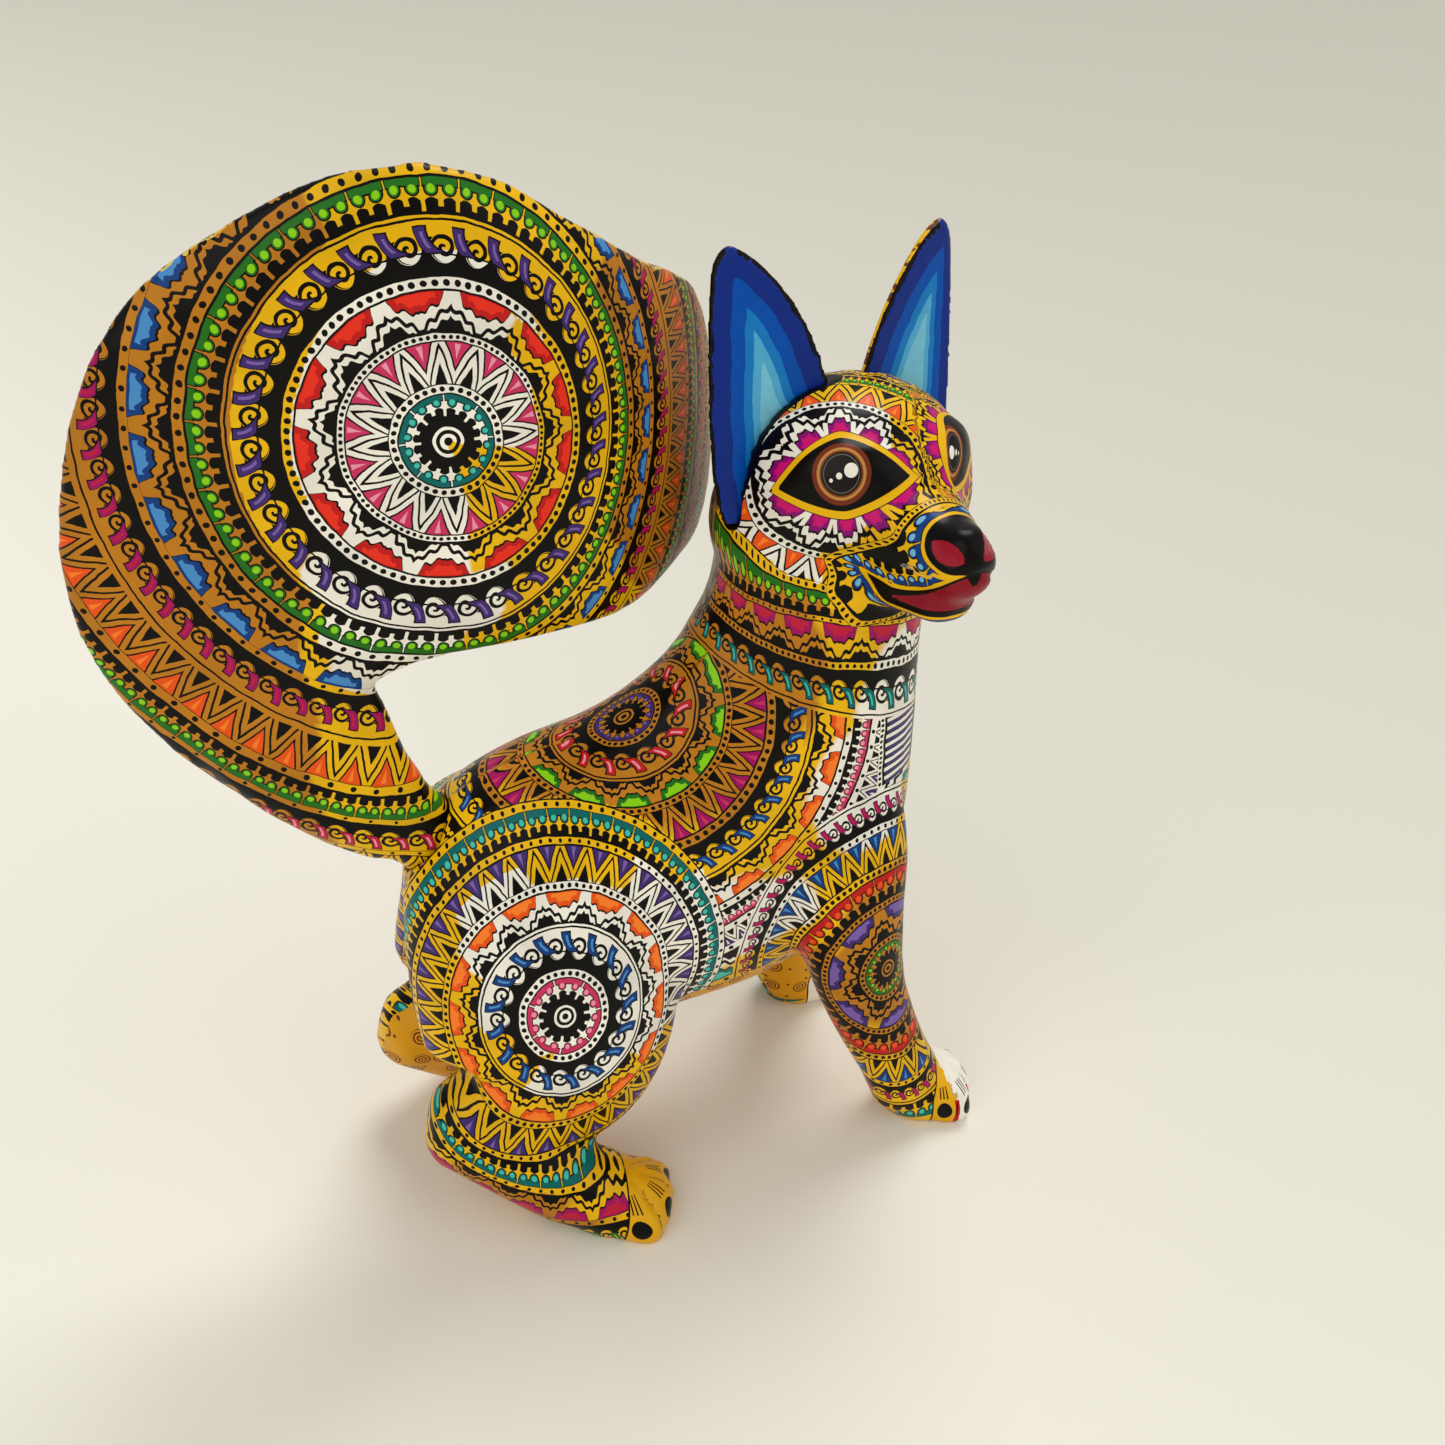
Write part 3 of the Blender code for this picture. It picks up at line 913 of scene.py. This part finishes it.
# The paws: the middle of each, and the way that each nail points, in degrees from straight ahead
REAR_PAWS = ((-0.5, -38.9), (-12.6, 32.5))
FRONT_PAWS = ((99.0, -20.8), (79.3, 40.7))
REAR_NAILS = (-79.0, -32.0, 12.0, 58.0)
FRONT_NAILS = (-88.0, -52.0, -12.0, 34.0)
PAW_RADIUS = 13.0
PAW_TOPS = (20.0, 18.0)
FRONT_FROM = 40.0
# The inner sides reach up to a height. Their spirals and spots are so far apart
INNER_TOP = 96.0
SPIRAL_SPACING = 9.0
SPOT_SPACING = 6.0
# The shallow carving: its depth, and the half widths of the mouth's line and of the gaps between toes
CARVED_DEPTH = 0.8
MOUTH_WIDTH = 1.1
TOE_WIDTH = 0.9

BODY_PATCHES = [
    ((33, -30, 84), 11, 1.5),
    ((-30, -38, 20), 16, -1.3),
    ((8, -5, 140), 24, -1.3),
    ((40, -5, 145), 16, -1.3),
    ((76, -22, 125), 12, 1.6),
    ((52, -24, 84), 9, 1.4),
    ((70, -22, 112), 9, 1.3),
    ((83, -26, 66), 19, -1.6),
    ((86, -22, 150), 9, 1.4),
    ((42, -12, 160), 13, -1.2),
]


def white_face(ring, eye):
    """How pale the base paint is by the near eye: white in an oval away from the nose, and on the cheek."""
    across, up = eye.T
    oval = np.minimum(25.4 - ring, np.minimum(12.0 - across, 11.0 - across - 0.5 * np.clip(-up, 0, 30)))
    cheek = np.minimum(np.minimum(-up - 3.0, 7.0 - across), np.minimum(ring - 25.0, CHEEK_END - ring))
    return np.clip(np.maximum(oval, cheek) + 0.5, 0.0, 1.3)


def lengths(rows):
    return np.linalg.norm(rows, axis=-1)


def unit(rows):
    return rows / (lengths(rows)[..., None] + 1e-9)


def within(*borders):
    """The border of what lies inside all of these borders."""
    return np.maximum.reduce(borders)


def disc(points, centre, stretch):
    """Rings on an upright flank round a centre, as two numbers whose length is the ring, and as the ring."""
    away = (points - centre) * stretch
    ring = lengths(away)
    return unit(away[:, (0, 2)]) * ring[:, None], ring


def by_side(points, centres):
    """The centre on each point's own side of the body."""
    near, far = centres
    return np.where((points[:, 1] > MIDDLE)[:, None], far, near)


def eye_field(directions, turn, rise, mirror):
    """Places on the head's round side about an eye, in millimetres across and up."""
    turn, rise = math.radians(turn), math.radians(rise)
    ahead = math.cos(turn) * FORWARD + math.sin(turn) * SIDEWAYS
    centre = math.cos(rise) * ahead + math.sin(rise) * UP
    across = np.cross(UP, ahead)
    upward = np.cross(centre, across)
    angle = np.arccos(np.clip(directions @ centre, -1, 1))
    flat = unit(np.stack([directions @ across * mirror, directions @ upward], -1))
    return flat * (angle * HEAD_RADIUS)[:, None]


def lid_field(eye, almond):
    """Distance past the lids of an almond eye, less than 0 inside, and the turn about its middle."""
    across, up, tilt, half, above, below, blunt = almond
    tilt = math.radians(tilt)
    place = eye - (across, up)
    along = place[:, 0] * math.cos(tilt) + place[:, 1] * math.sin(tilt)
    over = place[:, 1] * math.cos(tilt) - place[:, 0] * math.sin(tilt)
    height = np.where(over > 0, above, below)
    lid = np.abs(over) - height * (1 - (np.abs(along) / half) ** blunt)
    return lid, np.arctan2(over, along)


def iris_field(eye, across, up, turn, stretch):
    """Places about the middle of an iris, drawn out one way so that a circle comes out narrow that way."""
    turn = math.radians(turn)
    way = np.array((math.cos(turn), math.sin(turn)))
    place = eye - (across, up)
    return place + ((stretch - 1.0) * (place @ way))[:, None] * way


def near_rings(eye, lid):
    """Rings round the near eye that follow its lids near it and an oval further out."""
    place = np.stack([eye[:, 0] + 2.3, (eye[:, 1] - 0.5) * 1.2], -1)
    ring = lengths(place)
    inner, outer = EYE_BANDS[0][0], EYE_BANDS[1][0]
    past = np.maximum(lid - RIM_WIDTH, 0.0)
    blend = inner + past / (past + np.maximum(outer - ring, 0.01)) * (outer - inner)
    return np.where(ring < outer, blend + 0.3, ring)


def far_rings(eye, lid):
    """Rings round the far eye, which grow with the distance past its lids but no faster than circles do."""
    ring = np.maximum(EYE_BANDS[0][0] + (lid - RIM_WIDTH) * FAR_SPREAD, 0.5)
    return np.minimum(ring, 22.0 + 1.1 * lengths(eye))


def paint_eyes(tree, colour):
    """Almond eyes: a yellow rim, a black field, brown rings, a black pupil and white painted highlights."""
    lid, border, _ = stored(tree, "eye")
    across, up, _ = stored(tree, "iris")
    inside = border < 0.0
    rim = (lid < RIM_WIDTH + 0.25, BLACK_INK), (lid < RIM_WIDTH, YELLOW), (lid < 0.0, BLACK_INK)
    colour = coated(colour, inside, *rim)
    ring = hypot(across, up)
    iris, _ = ramp(ring / IRIS_REACH, [(edge / IRIS_REACH, linear(tone)) for edge, tone in IRIS_RAMP])
    colour = cover(inside & (lid < 0.1) & (ring < IRIS_RADIUS), colour, iris)
    # Painted highlights: white spots on each eye where light would glint on the varnish
    painted_highlights = [(hypot(across - place, up - rise) < radius, WHITE) for place, rise, radius in PAINTED_EYE_HIGHLIGHTS]
    return coated(colour, inside, *painted_highlights)


def nose_fields(ahead, aside, up):
    """Distance past the ball of the nose, and past the ball and the cleft below it."""
    nose_ahead, nose_up, nose_radius = NOSE
    ball = np.hypot(ahead - nose_ahead, up - nose_up) - nose_radius
    half = np.clip((up - CLEFT_FOOT) * 0.7, -1.0, CLEFT_HALF)
    cleft = within(np.abs(aside) - half, up - CLEFT_TOP, CLEFT_FROM - ahead)
    return ball, np.minimum(ball, cleft)


def mouth_fields(ahead, up):
    """Distance past the lips, past the red between them, and above the line where they part."""
    bend = ahead - LIP_BEND
    upper = LIP_TOP + np.where(bend > 0, 0.0235 * bend**2, -0.37 * bend)
    back = np.clip(LIP_BACK - ahead, 0, 20)
    lower = LIP_FOOT + 0.26 * back**2
    lips = np.maximum(up - upper, (lower - up) / np.hypot(1, 0.52 * back))
    lips = np.maximum(lips, LIP_END - ahead) * np.where(ahead > 45, 0.75, 0.9)
    parting = up - (RED_TOP + 0.0205 * (ahead - 30) ** 2)
    red = np.maximum(np.maximum(parting, RED_FOOT - up) * 0.85, RED_END - ahead)
    return lips, red, parting


def nostril_field(ahead, aside, up, ball):
    """Distance past the drop-shaped nostril on each point's own side of the nose."""
    near = aside < 0
    off = np.stack([ahead, aside, up], -1) - np.where(near[:, None], *NOSTRILS)
    inward = off[:, 1] * np.where(near, 1.0, -1.0)
    along = inward * 0.87 - off[:, 2] * 0.5
    thin = (inward * 0.5 + off[:, 2] * 0.87) * (1.0 + 0.12 * np.clip(along + 1.0, 0, 6))
    drop = np.sqrt((along * 0.72) ** 2 + thin**2 + (off[:, 0] * 0.6) ** 2) - NOSTRIL_RADIUS
    return within(drop, ball + 1.5, 1.2 - np.abs(aside))


def muzzle_field(ahead, up):
    """Distance past the muzzle's edge, which steps forward from behind the mouth to the nose's bridge."""
    rise = np.clip((up - STEP_FOOT) / STEP_HEIGHT, 0, 1)
    edge = MUZZLE_BACK + MUZZLE_STEP * (3 * rise**2 - 2 * rise**3) + 0.3 * np.clip(-18 - up, 0, 12)
    muzzle = (edge - ahead) / np.hypot(1, MUZZLE_STEP * 6 * rise * (1 - rise) / STEP_HEIGHT)
    return within(muzzle, MUZZLE_FOOT - up, 14.0 - ahead) * (1.0 + 0.5 * np.clip((-4.0 - up) / 6.0, 0, 1))


def outline_length(ahead, up, ball, lips):
    """A length along the outline of the nose or of the lips, whichever is nearer."""
    nose_ahead, nose_up, nose_radius = NOSE
    corner_ahead, corner_up = MOUTH_CORNER
    past = ahead - corner_ahead
    corner = np.arctan2(up - corner_up, np.maximum(-past, 0.01))
    along = np.where(up > corner_up - 0.15 * past, past, -CORNER_RADIUS * math.pi - past)
    along = np.where(past < 0.0, (corner - math.pi / 2) * CORNER_RADIUS, along)
    return np.where(ball < lips, nose_radius * np.arctan2(up - nose_up, nose_ahead - ahead), along)


def paint_snout(tree, colour):
    """The black nose with its nostrils, the dark mouth with its red, and the ochre end of the far lip."""
    nose, lips, red = stored(tree, "snout")
    nostril, muzzle, lip_end = stored(tree, "nostril")
    inside = muzzle < -1.2
    colour = cover(inside & (lip_end < 0.0), colour, OCHRE)
    return coated(
        colour,
        inside,
        ((lip_end < 0.0) & ((nose < 0.5) | (lips < 0.5)), BLACK_INK),
        ((nose < 0.0) | (lips < 0.0), BLACK_INK),
        ((red < 0.0) & (nose > 0.0), LIP_RED),
        ((nostril < 0.0) & (nose < 0.0), NOSTRIL_RED),
    )


def scattered(across, up, size):
    """The nearest of many scattered centres: how far off it is across and up, in units of their spacing."""
    node = across.socket.id_data.nodes.new("ShaderNodeTexVoronoi")
    node.voronoi_dimensions = "2D"
    node.inputs["Scale"].default_value = 1.0
    node.inputs["Randomness"].default_value = 0.55
    place = joined(across / size, up / size, 0.0)
    feed(node.inputs["Vector"], place)
    near_across, near_up, _ = parts_of(Field(node.outputs["Position"]))
    own_across, own_up, _ = parts_of(place)
    return own_across - near_across, own_up - near_up


def paint_inner(tree, colour, place):
    """Ochre inner sides and belly with brown spirals and dots."""
    border, _, _ = stored(tree, "inner")
    across, _, up = parts_of(place)
    across, up = across / MM, up / MM
    away_across, away_up = scattered(across, up, SPIRAL_SPACING)
    ring = hypot(away_across, away_up)
    turn = maths("ARCTAN2", away_up, away_across) / TAU
    spiral = (fract(ring / 0.115 - turn) < 0.5) & (ring < 0.29)
    dot_across, dot_up = scattered(across + 3.1, up + 1.7, SPOT_SPACING)
    dot = (hypot(dot_across, dot_up) < 0.085) & (ring > 0.35)
    inside = border < 0.0
    return coated(cover(inside, colour, HONEY), inside, (spiral | dot, BROWN))


def paint_paws(tree, colour):
    """Bare toes with black nails and short strokes, the front ones white with red between."""
    nail, height, border = stored(tree, "paw")
    gap, white, _ = stored(tree, "toe")
    inside = border < 0.0
    strokes = (fract(nail / 1.25 + 0.2) < 0.4) & (abs(nail) < 2.2) & (abs(height - 11.4) < 1.7)
    colour = coated(
        cover(inside, colour, CORN),
        inside,
        (white > 0.5, WHITE),
        ((white > 0.0) & (abs(gap) < 0.7) & (height < 9.0), RED),
        (strokes, BLACK_INK),
        (hypot(nail / 2.4, (height - 5.6) / 2.9) < 1.0, BLACK_INK),
    )
    return cover(abs(border) < 0.25, colour, BLACK_INK)


def paint_nape(tree, colour, place):
    """Bare worn streaks down the back of the neck, and black where the ears meet the head."""
    border, root, _ = stored(tree, "nape")
    across, along, up = parts_of(place)
    _, streak = noise(joined(across * 900.0, along * 900.0, up * 110.0), 1.0, 2.0)
    bare = cover(streak > 0.5, BARK, BARE_WOOD)
    bare = cover(streak > 0.62, bare, PALE_WOOD)
    colour = cover(border < 0.0, colour, bare)
    return cover(root < 1.6, colour, BLACK_INK)


def spots_on(piece):
    """The body's vertices, and how far each lies ahead of the head's middle, aside of it and above it."""
    points = points_of(piece)
    away = points - HEAD
    ahead, aside, up = (away @ way for way in (FORWARD, SIDEWAYS, UP))
    return SimpleNamespace(points=points, away=away, ahead=ahead, aside=aside, up=up)


def mark_saddle(piece, points):
    """The saddle: rings over the back, which run down both flanks and on to the chest."""
    away = (points - SADDLE_CENTRE) * SADDLE_STRETCH
    forth = away @ unit(np.array(SADDLE_WAY))
    left = np.sign(away[:, 1]) * np.sqrt(np.maximum((away**2).sum(1) - forth**2, 0.01))
    store(piece, "saddle", (forth, left, -1.0))


def mark_flanks(piece, points):
    """The haunches and shoulders, with rings down the legs. Returns the haunch's rings and the way round."""
    away, ring = disc(points, by_side(points, HAUNCH_CENTRES), HAUNCH_STRETCH)
    turn = np.degrees(np.arctan2(away[:, 1], away[:, 0]))
    spread = np.interp(ring, HEEL_RINGS, HEEL_SPREADS)
    spread = 1.0 - spread * np.exp(-(((turn - HEEL_TURN) / HEEL_WIDTH) ** 2))
    ring = ring * spread
    away *= spread[:, None]
    below, behind = REAR_FOOT
    on_foot = (points[:, 2] < below) & (points[:, 0] < behind)
    store(piece, "haunch", (*away.T, ring - np.where(on_foot, HAUNCH_BANDS[-1][0], HAUNCH_REACH)))
    away, shoulder_ring = disc(points, by_side(points, SHOULDER_CENTRES), SHOULDER_STRETCH)
    reach = np.where(points[:, 2] < SHOULDER_FOOT, SHOULDER_BANDS[-1][0], SHOULDER_REACH)
    store(piece, "shoulder", (*away.T, shoulder_ring - reach))
    return ring, turn


def mark_collar(piece, spots):
    """The collar: rings about the head, tilted down towards the chest. Returns the rings."""
    along, aside, height = spots.points.T
    neck_along, neck_aside = NECK
    ring = lengths(spots.away)
    tilt = COLLAR_TILT * (along - 60.0) * np.clip((ring - COLLAR_EVEN) / 12.0, 0, 1)
    ring = ring - tilt + 0.12 * np.clip(spots.ahead, 0, 22) * np.clip((COLLAR_EVEN - ring) / 8.0, 0, 1)
    spaced = ring - 0.6 * np.maximum(COLLAR_FINE - ring, 0.0)
    border = np.maximum(ring - COLLAR_BANDS[-1][0], height - COLLAR_TOP)
    store_rings(piece, "collar", spaced, np.arctan2(aside - neck_aside, along - neck_along), border)
    return ring


def mark_head(piece, spots, collar_ring, muzzle):
    """The head: both eyes and rings about each. Returns the near side of the face, and how pale that is."""
    bridge = 30.0 * np.clip((spots.ahead - 20.0) / 6.0, 0, 1) * np.clip((spots.up + 16.0) / 4.0, 0, 1)
    border = np.maximum(collar_ring - HEAD_REACH - bridge, -spots.up - 26.0)
    directions = unit(spots.away)
    far_side = spots.aside > 3.0 + 0.12 * np.clip(spots.up - 17.0, 0, 20) ** 2
    near_eye = eye_field(directions, *EYES[0], 1.0)
    far_eye = eye_field(directions, *EYES[1], -1.0)
    near_lid, near_turn = lid_field(near_eye, ALMONDS[0])
    far_lid, far_turn = lid_field(far_eye, ALMONDS[1])
    near_ring = near_rings(near_eye, near_lid)
    store(piece, "eye", (np.where(far_side, far_lid, near_lid), np.maximum(border, 1.4 - muzzle), 0.0))
    iris = np.where(far_side[:, None], iris_field(far_eye, *IRISES[1]), iris_field(near_eye, *IRISES[0]))
    store(piece, "iris", (*iris.T, 0.0))
    ring = np.where(far_side, far_rings(far_eye, far_lid), near_ring)
    store_rings(piece, "face", ring, np.where(far_side, far_turn, near_turn), border)
    return (border < 0.0) & ~far_side, white_face(near_ring, near_eye)


def mark_snout(piece, spots):
    """The muzzle, nose, lips and nostrils. Returns the muzzle, the nostrils and the line of the mouth."""
    ahead, aside, up = spots.ahead, spots.aside - SNOUT_MIDDLE, spots.up
    ball, nose = nose_fields(ahead, aside, up)
    lips, red, parting = mouth_fields(ahead, up)
    nostril = nostril_field(ahead, aside, up, ball)
    muzzle = muzzle_field(ahead, up)
    store(piece, "snout", (nose, lips, red))
    store(piece, "nostril", (nostril, muzzle, np.maximum(LIP_TIP - ahead, 2.6 - aside)))
    store_rings(piece, "muzzle", muzzle + MUZZLE_LINE, np.arctan2(up + 8.0, spots.aside), muzzle - 1.1)
    ring = np.maximum(np.minimum(nose, lips), 0.0) + LIPS_START
    turn = outline_length(ahead, up, ball, lips) / LIPS_GIRTH * TAU
    store_rings(piece, "lips", ring, turn, np.maximum(muzzle + 1.2, ring - LIPS_BANDS[-1][0]))
    return muzzle, nostril, parting


def mark_chest(piece, points):
    """The striped panel on the chest."""
    along, aside, height = points.T
    border = within(np.abs(height - CHEST_HEIGHT) - CHEST_HALF, CHEST_FROM - along, aside + 4.0)
    store_rings(piece, "chest", along - 76.0 + CHEST_START, height / CHEST_GIRTH * TAU, border)


def mark_nape(piece, spots, ear_points):
    """The worn nape, and the distance from the ears, whose root is wider at the back of the head."""
    height = spots.points[:, 2]
    head = lengths(spots.away)
    border = within(spots.ahead + 9.0, NAPE_FOOT - height, 33.5 - head, spots.aside - 9.0)
    ears = KDTree(len(ear_points))
    for number, point in enumerate(ear_points):
        ears.insert(point, number)
    ears.balance()
    root = [ears.find(point)[2] if point[2] > EAR_LOWEST else FAR_OFF for point in spots.points]
    rim = 2.4 * np.clip((height - 195.0) / 8.0, 0, 1) * (spots.points[:, 0] < 72.0)
    store(piece, "nape", (border, np.array(root) - rim, 0.0))


def mark_inner(piece, points):
    """The inner sides of the legs and the belly, which face the middle or the floor."""
    normals = normals_of(piece)
    inward = np.where(points[:, 1] > MIDDLE, -1.0, 1.0) * normals[:, 1]
    facing = np.maximum(inward, -normals[:, 2] * 0.9)
    border = within((0.45 - facing) * 6.0, points[:, 2] - INNER_TOP, 3.0 - points[:, 2])
    store(piece, "inner", (border, 0.0, 0.0))


def mark_paws(piece, points):
    """The paws: how far each spot is from a nail and a gap between toes. Returns how deep gaps are cut."""
    along, aside, height = points.T
    front = along > FRONT_FROM
    rear_middle, front_middle = (by_side(points, centres) for centres in (REAR_PAWS, FRONT_PAWS))
    middle = np.where(front[:, None], front_middle, rear_middle)
    paw_ahead = along - middle[:, 0]
    paw_aside = (aside - middle[:, 1]) * np.where(aside < MIDDLE, 1.0, -1.0)
    way = np.degrees(np.arctan2(paw_aside, paw_ahead))
    rear_nail, rear_gap = nearest(way, REAR_NAILS)
    front_nail, front_gap = nearest(way, FRONT_NAILS)
    arc = math.radians(PAW_RADIUS)
    nail = np.where(front, front_nail, rear_nail) * arc
    gap = np.where(front, front_gap, rear_gap) * arc
    edge = np.where(front, -3.0 + 0.28 * np.clip(height - 9.7, 0, 20), 0.2 * (height - 10.0))
    border = np.maximum(edge - paw_ahead, height - np.where(front, *PAW_TOPS))
    store(piece, "paw", (nail, height, border))
    white = np.where(front & (way > -70.0), 1.0, np.where(front, 0.2, -1.0))
    store(piece, "toe", (gap, white, 0.0))
    cut = np.clip(1.0 - border / 3.0, 0, 1) * (border < 0) * (height > 1.5)
    return np.exp(-((gap / TOE_WIDTH) ** 2)) * cut


def body(ear_points):
    piece = carved("body", "painted_body", 1.1, 40)
    spots = spots_on(piece)
    points = spots.points
    mark_saddle(piece, points)
    haunch_ring, haunch_turn = mark_flanks(piece, points)
    collar_ring = mark_collar(piece, spots)
    muzzle, nostril, parting = mark_snout(piece, spots)
    on_face, face_pale = mark_head(piece, spots, collar_ring, muzzle)
    mark_chest(piece, points)
    mark_nape(piece, spots, ear_points)
    mark_inner(piece, points)
    toes = mark_paws(piece, points)

    # Shallow carving: the line of the mouth, the nostrils and the gaps between the toes
    mouth = np.exp(-((parting / MOUTH_WIDTH) ** 2)) * np.clip((spots.ahead - 33.0) / 4.0, 0, 1)
    mouth *= muzzle < -1.2
    hollow = np.clip(-nostril / 1.4, 0, 1) * (spots.ahead > 36.0)
    carve_in(piece, CARVED_DEPTH * within(mouth, hollow, toes))

    # The base paint: ochre and white patches, white fans on the haunch and about the near eye
    pale = patches(points, BODY_PATCHES)
    fan = np.maximum(*(white_fan(haunch_ring, haunch_turn, table) for table in (HAUNCH_WHITE, HAUNCH_TIPS)))
    pale = np.where(haunch_ring < HAUNCH_REACH, fan, pale)
    pale = np.where(on_face, face_pale, pale)
    store(piece, "patch", (np.where(muzzle < 2.0, 0.0, pale), 0.0, 0.0))
    zones = [
        Zone("saddle", SADDLE_BANDS),
        Zone("haunch", HAUNCH_BANDS),
        Zone("shoulder", SHOULDER_BANDS),
        Zone("chest", CHEST_BANDS, CHEST_GIRTH, CHEST_START),
        Zone("collar", COLLAR_BANDS, COLLAR_GIRTH, COLLAR_START),
        Zone("face", EYE_BANDS),
        Zone("muzzle", MUZZLE_BANDS, MUZZLE_GIRTH),
        Zone("lips", LIPS_BANDS, LIPS_GIRTH, LIPS_START),
    ]
    material, tree, place = new_material("body_paint")
    colour = patterned(tree, zones, place)
    colour = paint_inner(tree, colour, place)
    colour = paint_paws(tree, colour)
    colour = paint_nape(tree, colour, place)
    colour = paint_eyes(tree, colour)
    colour = paint_snout(tree, colour)
    finish_shader(tree, colour, place)
    piece.data.materials.append(material)


# The blues of an ear's front, by the distance from its rim
EAR_RAMP = [
    (0, BLACK_INK),
    (1, (18, 46, 134)),
    (5.3, (2, 80, 176)),
    (8.7, (24, 124, 198)),
    (10.9, (84, 174, 216)),
    (12.8, (122, 198, 222)),
]
EAR_RAMP_REACH = 20.0


def ear_material():
    """Blues that grow paler from the rim to the middle, and an ochre back with brown marks."""
    material, tree, place = new_material("ear_paint")
    rim, facing, _ = stored(tree, "ear")
    _, shake = noise(place, 160.0)
    share = (rim + (shake - 0.5) * 1.2) / EAR_RAMP_REACH
    front, _ = ramp(share, [(edge / EAR_RAMP_REACH, linear(colour)) for edge, colour in EAR_RAMP])
    _, streak = noise(place, 300.0, 2.0)
    front = cover(0.12, front, shaded(front, streak))
    back = cover(streak > 0.56, YELLOW, BROWN)
    finish_shader(tree, cover(facing > 0.1, back, front), place)
    return material


def ear_sides(across, height, low_inside):
    """The two sides of an ear as it faces, bottom to top: how far across each is in every row, and the rows.

    Below the height where the ear stands free, its inner side goes on straight through the head."""
    steps = np.linspace(height.min(), height.max() + 0.01, EAR_ROWS)
    rows = np.digitize(height, steps)
    low = np.array([across[rows == row].min() for row in range(1, EAR_ROWS)])
    high = np.array([across[rows == row].max() for row in range(1, EAR_ROWS)])
    steps = steps[:-1]
    free = steps > EAR_FREE_HEIGHT
    inner = low if low_inside else high
    inner[~free] = np.polyval(np.polyfit(steps[free][:14], inner[free][:14], 1), steps[~free])
    return low, high, steps


def ear(node, turn, low_inside, lean, narrower, material):
    piece = carved(node, "painted_" + node, 0.7, 12)
    points = points_of(piece)
    turn = math.radians(turn)
    across = points @ np.array((-math.sin(turn), math.cos(turn), 0.0))
    height = points[:, 2]
    low, high, steps = ear_sides(across, height, low_inside)
    deeper = steps[0] - np.linspace(1.0, 14.0, 12)
    low_gap, high_gap = (
        np.hypot(
            across[:, None] - np.concatenate([side, np.full(len(deeper), side[0])]),
            height[:, None] - np.concatenate([steps, deeper]),
        )
        for side in (low, high)
    )
    high_gap[:, : len(high)] *= narrower
    rim = np.minimum(low_gap.min(1), high_gap.min(1))
    turn = turn + math.radians(lean)
    facing = normals_of(piece) @ np.array((math.cos(turn), math.sin(turn), 0.0))
    store(piece, "ear", (rim, facing, 0.0))
    piece.data.materials.append(material)
    return points


# The camera at the photograph's place, in metres, and its turn in degrees
CAMERA_PLACE = (-0.046965, -0.321498, 0.3234)
CAMERA_TURN = (60.0, 0.0, -15.0)
CAMERA_LENS = 36.0
CAMERA_SENSOR = 36.0
FLOOR_SIZE = 40.0
# The floor's colour near the camera, and its darker painted shade far off to the right
FLOOR_NEAR = (243, 240, 227)
FLOOR_FAR_SHADE = (192, 190, 177)
WORLD_COLOUR = (1.0, 0.985, 0.95, 1.0)
WORLD_STRENGTH = 0.42
# Each lamp's way from the object, how wide it is in degrees and how strong
LAMPS = {
    "key": ((0.4, 0.55, 1.4), 26.0, 1.2),
    "fill": ((-0.9, -0.8, 0.9), 60.0, 0.85),
    "side": ((1.2, -0.9, 0.9), 60.0, 0.5),
}


def add_camera(scene):
    camera = bpy.data.objects.new("camera", bpy.data.cameras.new("camera"))
    camera.location = CAMERA_PLACE
    camera.rotation_euler = [math.radians(angle) for angle in CAMERA_TURN]
    camera.data.lens = CAMERA_LENS
    camera.data.sensor_width = CAMERA_SENSOR
    camera.data.clip_start = 0.01
    scene.collection.objects.link(camera)
    scene.camera = camera


def add_floor():
    """A pale floor with painted shade: its colour is a little darker towards the far right."""
    bpy.ops.mesh.primitive_plane_add(size=FLOOR_SIZE)
    floor = bpy.context.object
    floor.name = "floor"
    material, tree, place = new_material("pale_floor")
    across, along, _ = parts_of(place)
    # Painted shade: the floor's colour darkens with the distance towards the far right
    depth = maths("MAXIMUM", along * 0.9 + across * 1.8, 0.0)
    shader = tree.nodes["Principled BSDF"]
    feed(shader.inputs["Base Color"], cover(depth / (depth + 1.1), FLOOR_NEAR, FLOOR_FAR_SHADE))
    shader.inputs["Roughness"].default_value = 0.8
    shader.inputs["Specular IOR Level"].default_value = 0.0
    floor.data.materials.append(material)


def add_lights(scene):
    """A pale world and soft lamps."""
    world = bpy.data.worlds.new("studio")
    scene.world = world
    world.use_nodes = True
    sky = world.node_tree.nodes["Background"]
    sky.inputs["Color"].default_value = WORLD_COLOUR
    sky.inputs["Strength"].default_value = WORLD_STRENGTH
    for name, (place, width, strength) in LAMPS.items():
        lamp = bpy.data.lights.new(name, "SUN")
        lamp.angle = math.radians(width)
        lamp.energy = strength
        item = bpy.data.objects.new(name, lamp)
        item.rotation_euler = Vector(place).to_track_quat("Z", "Y").to_euler()
        scene.collection.objects.link(item)


scene = bpy.context.scene
scene.view_settings.view_transform = "Standard"
add_camera(scene)
add_floor()
add_lights(scene)
tail()
EAR_MATERIAL = ear_material()
ear_points = [ear(node, *facts, EAR_MATERIAL) for node, facts in EARS.items()]
body(np.concatenate(ear_points))
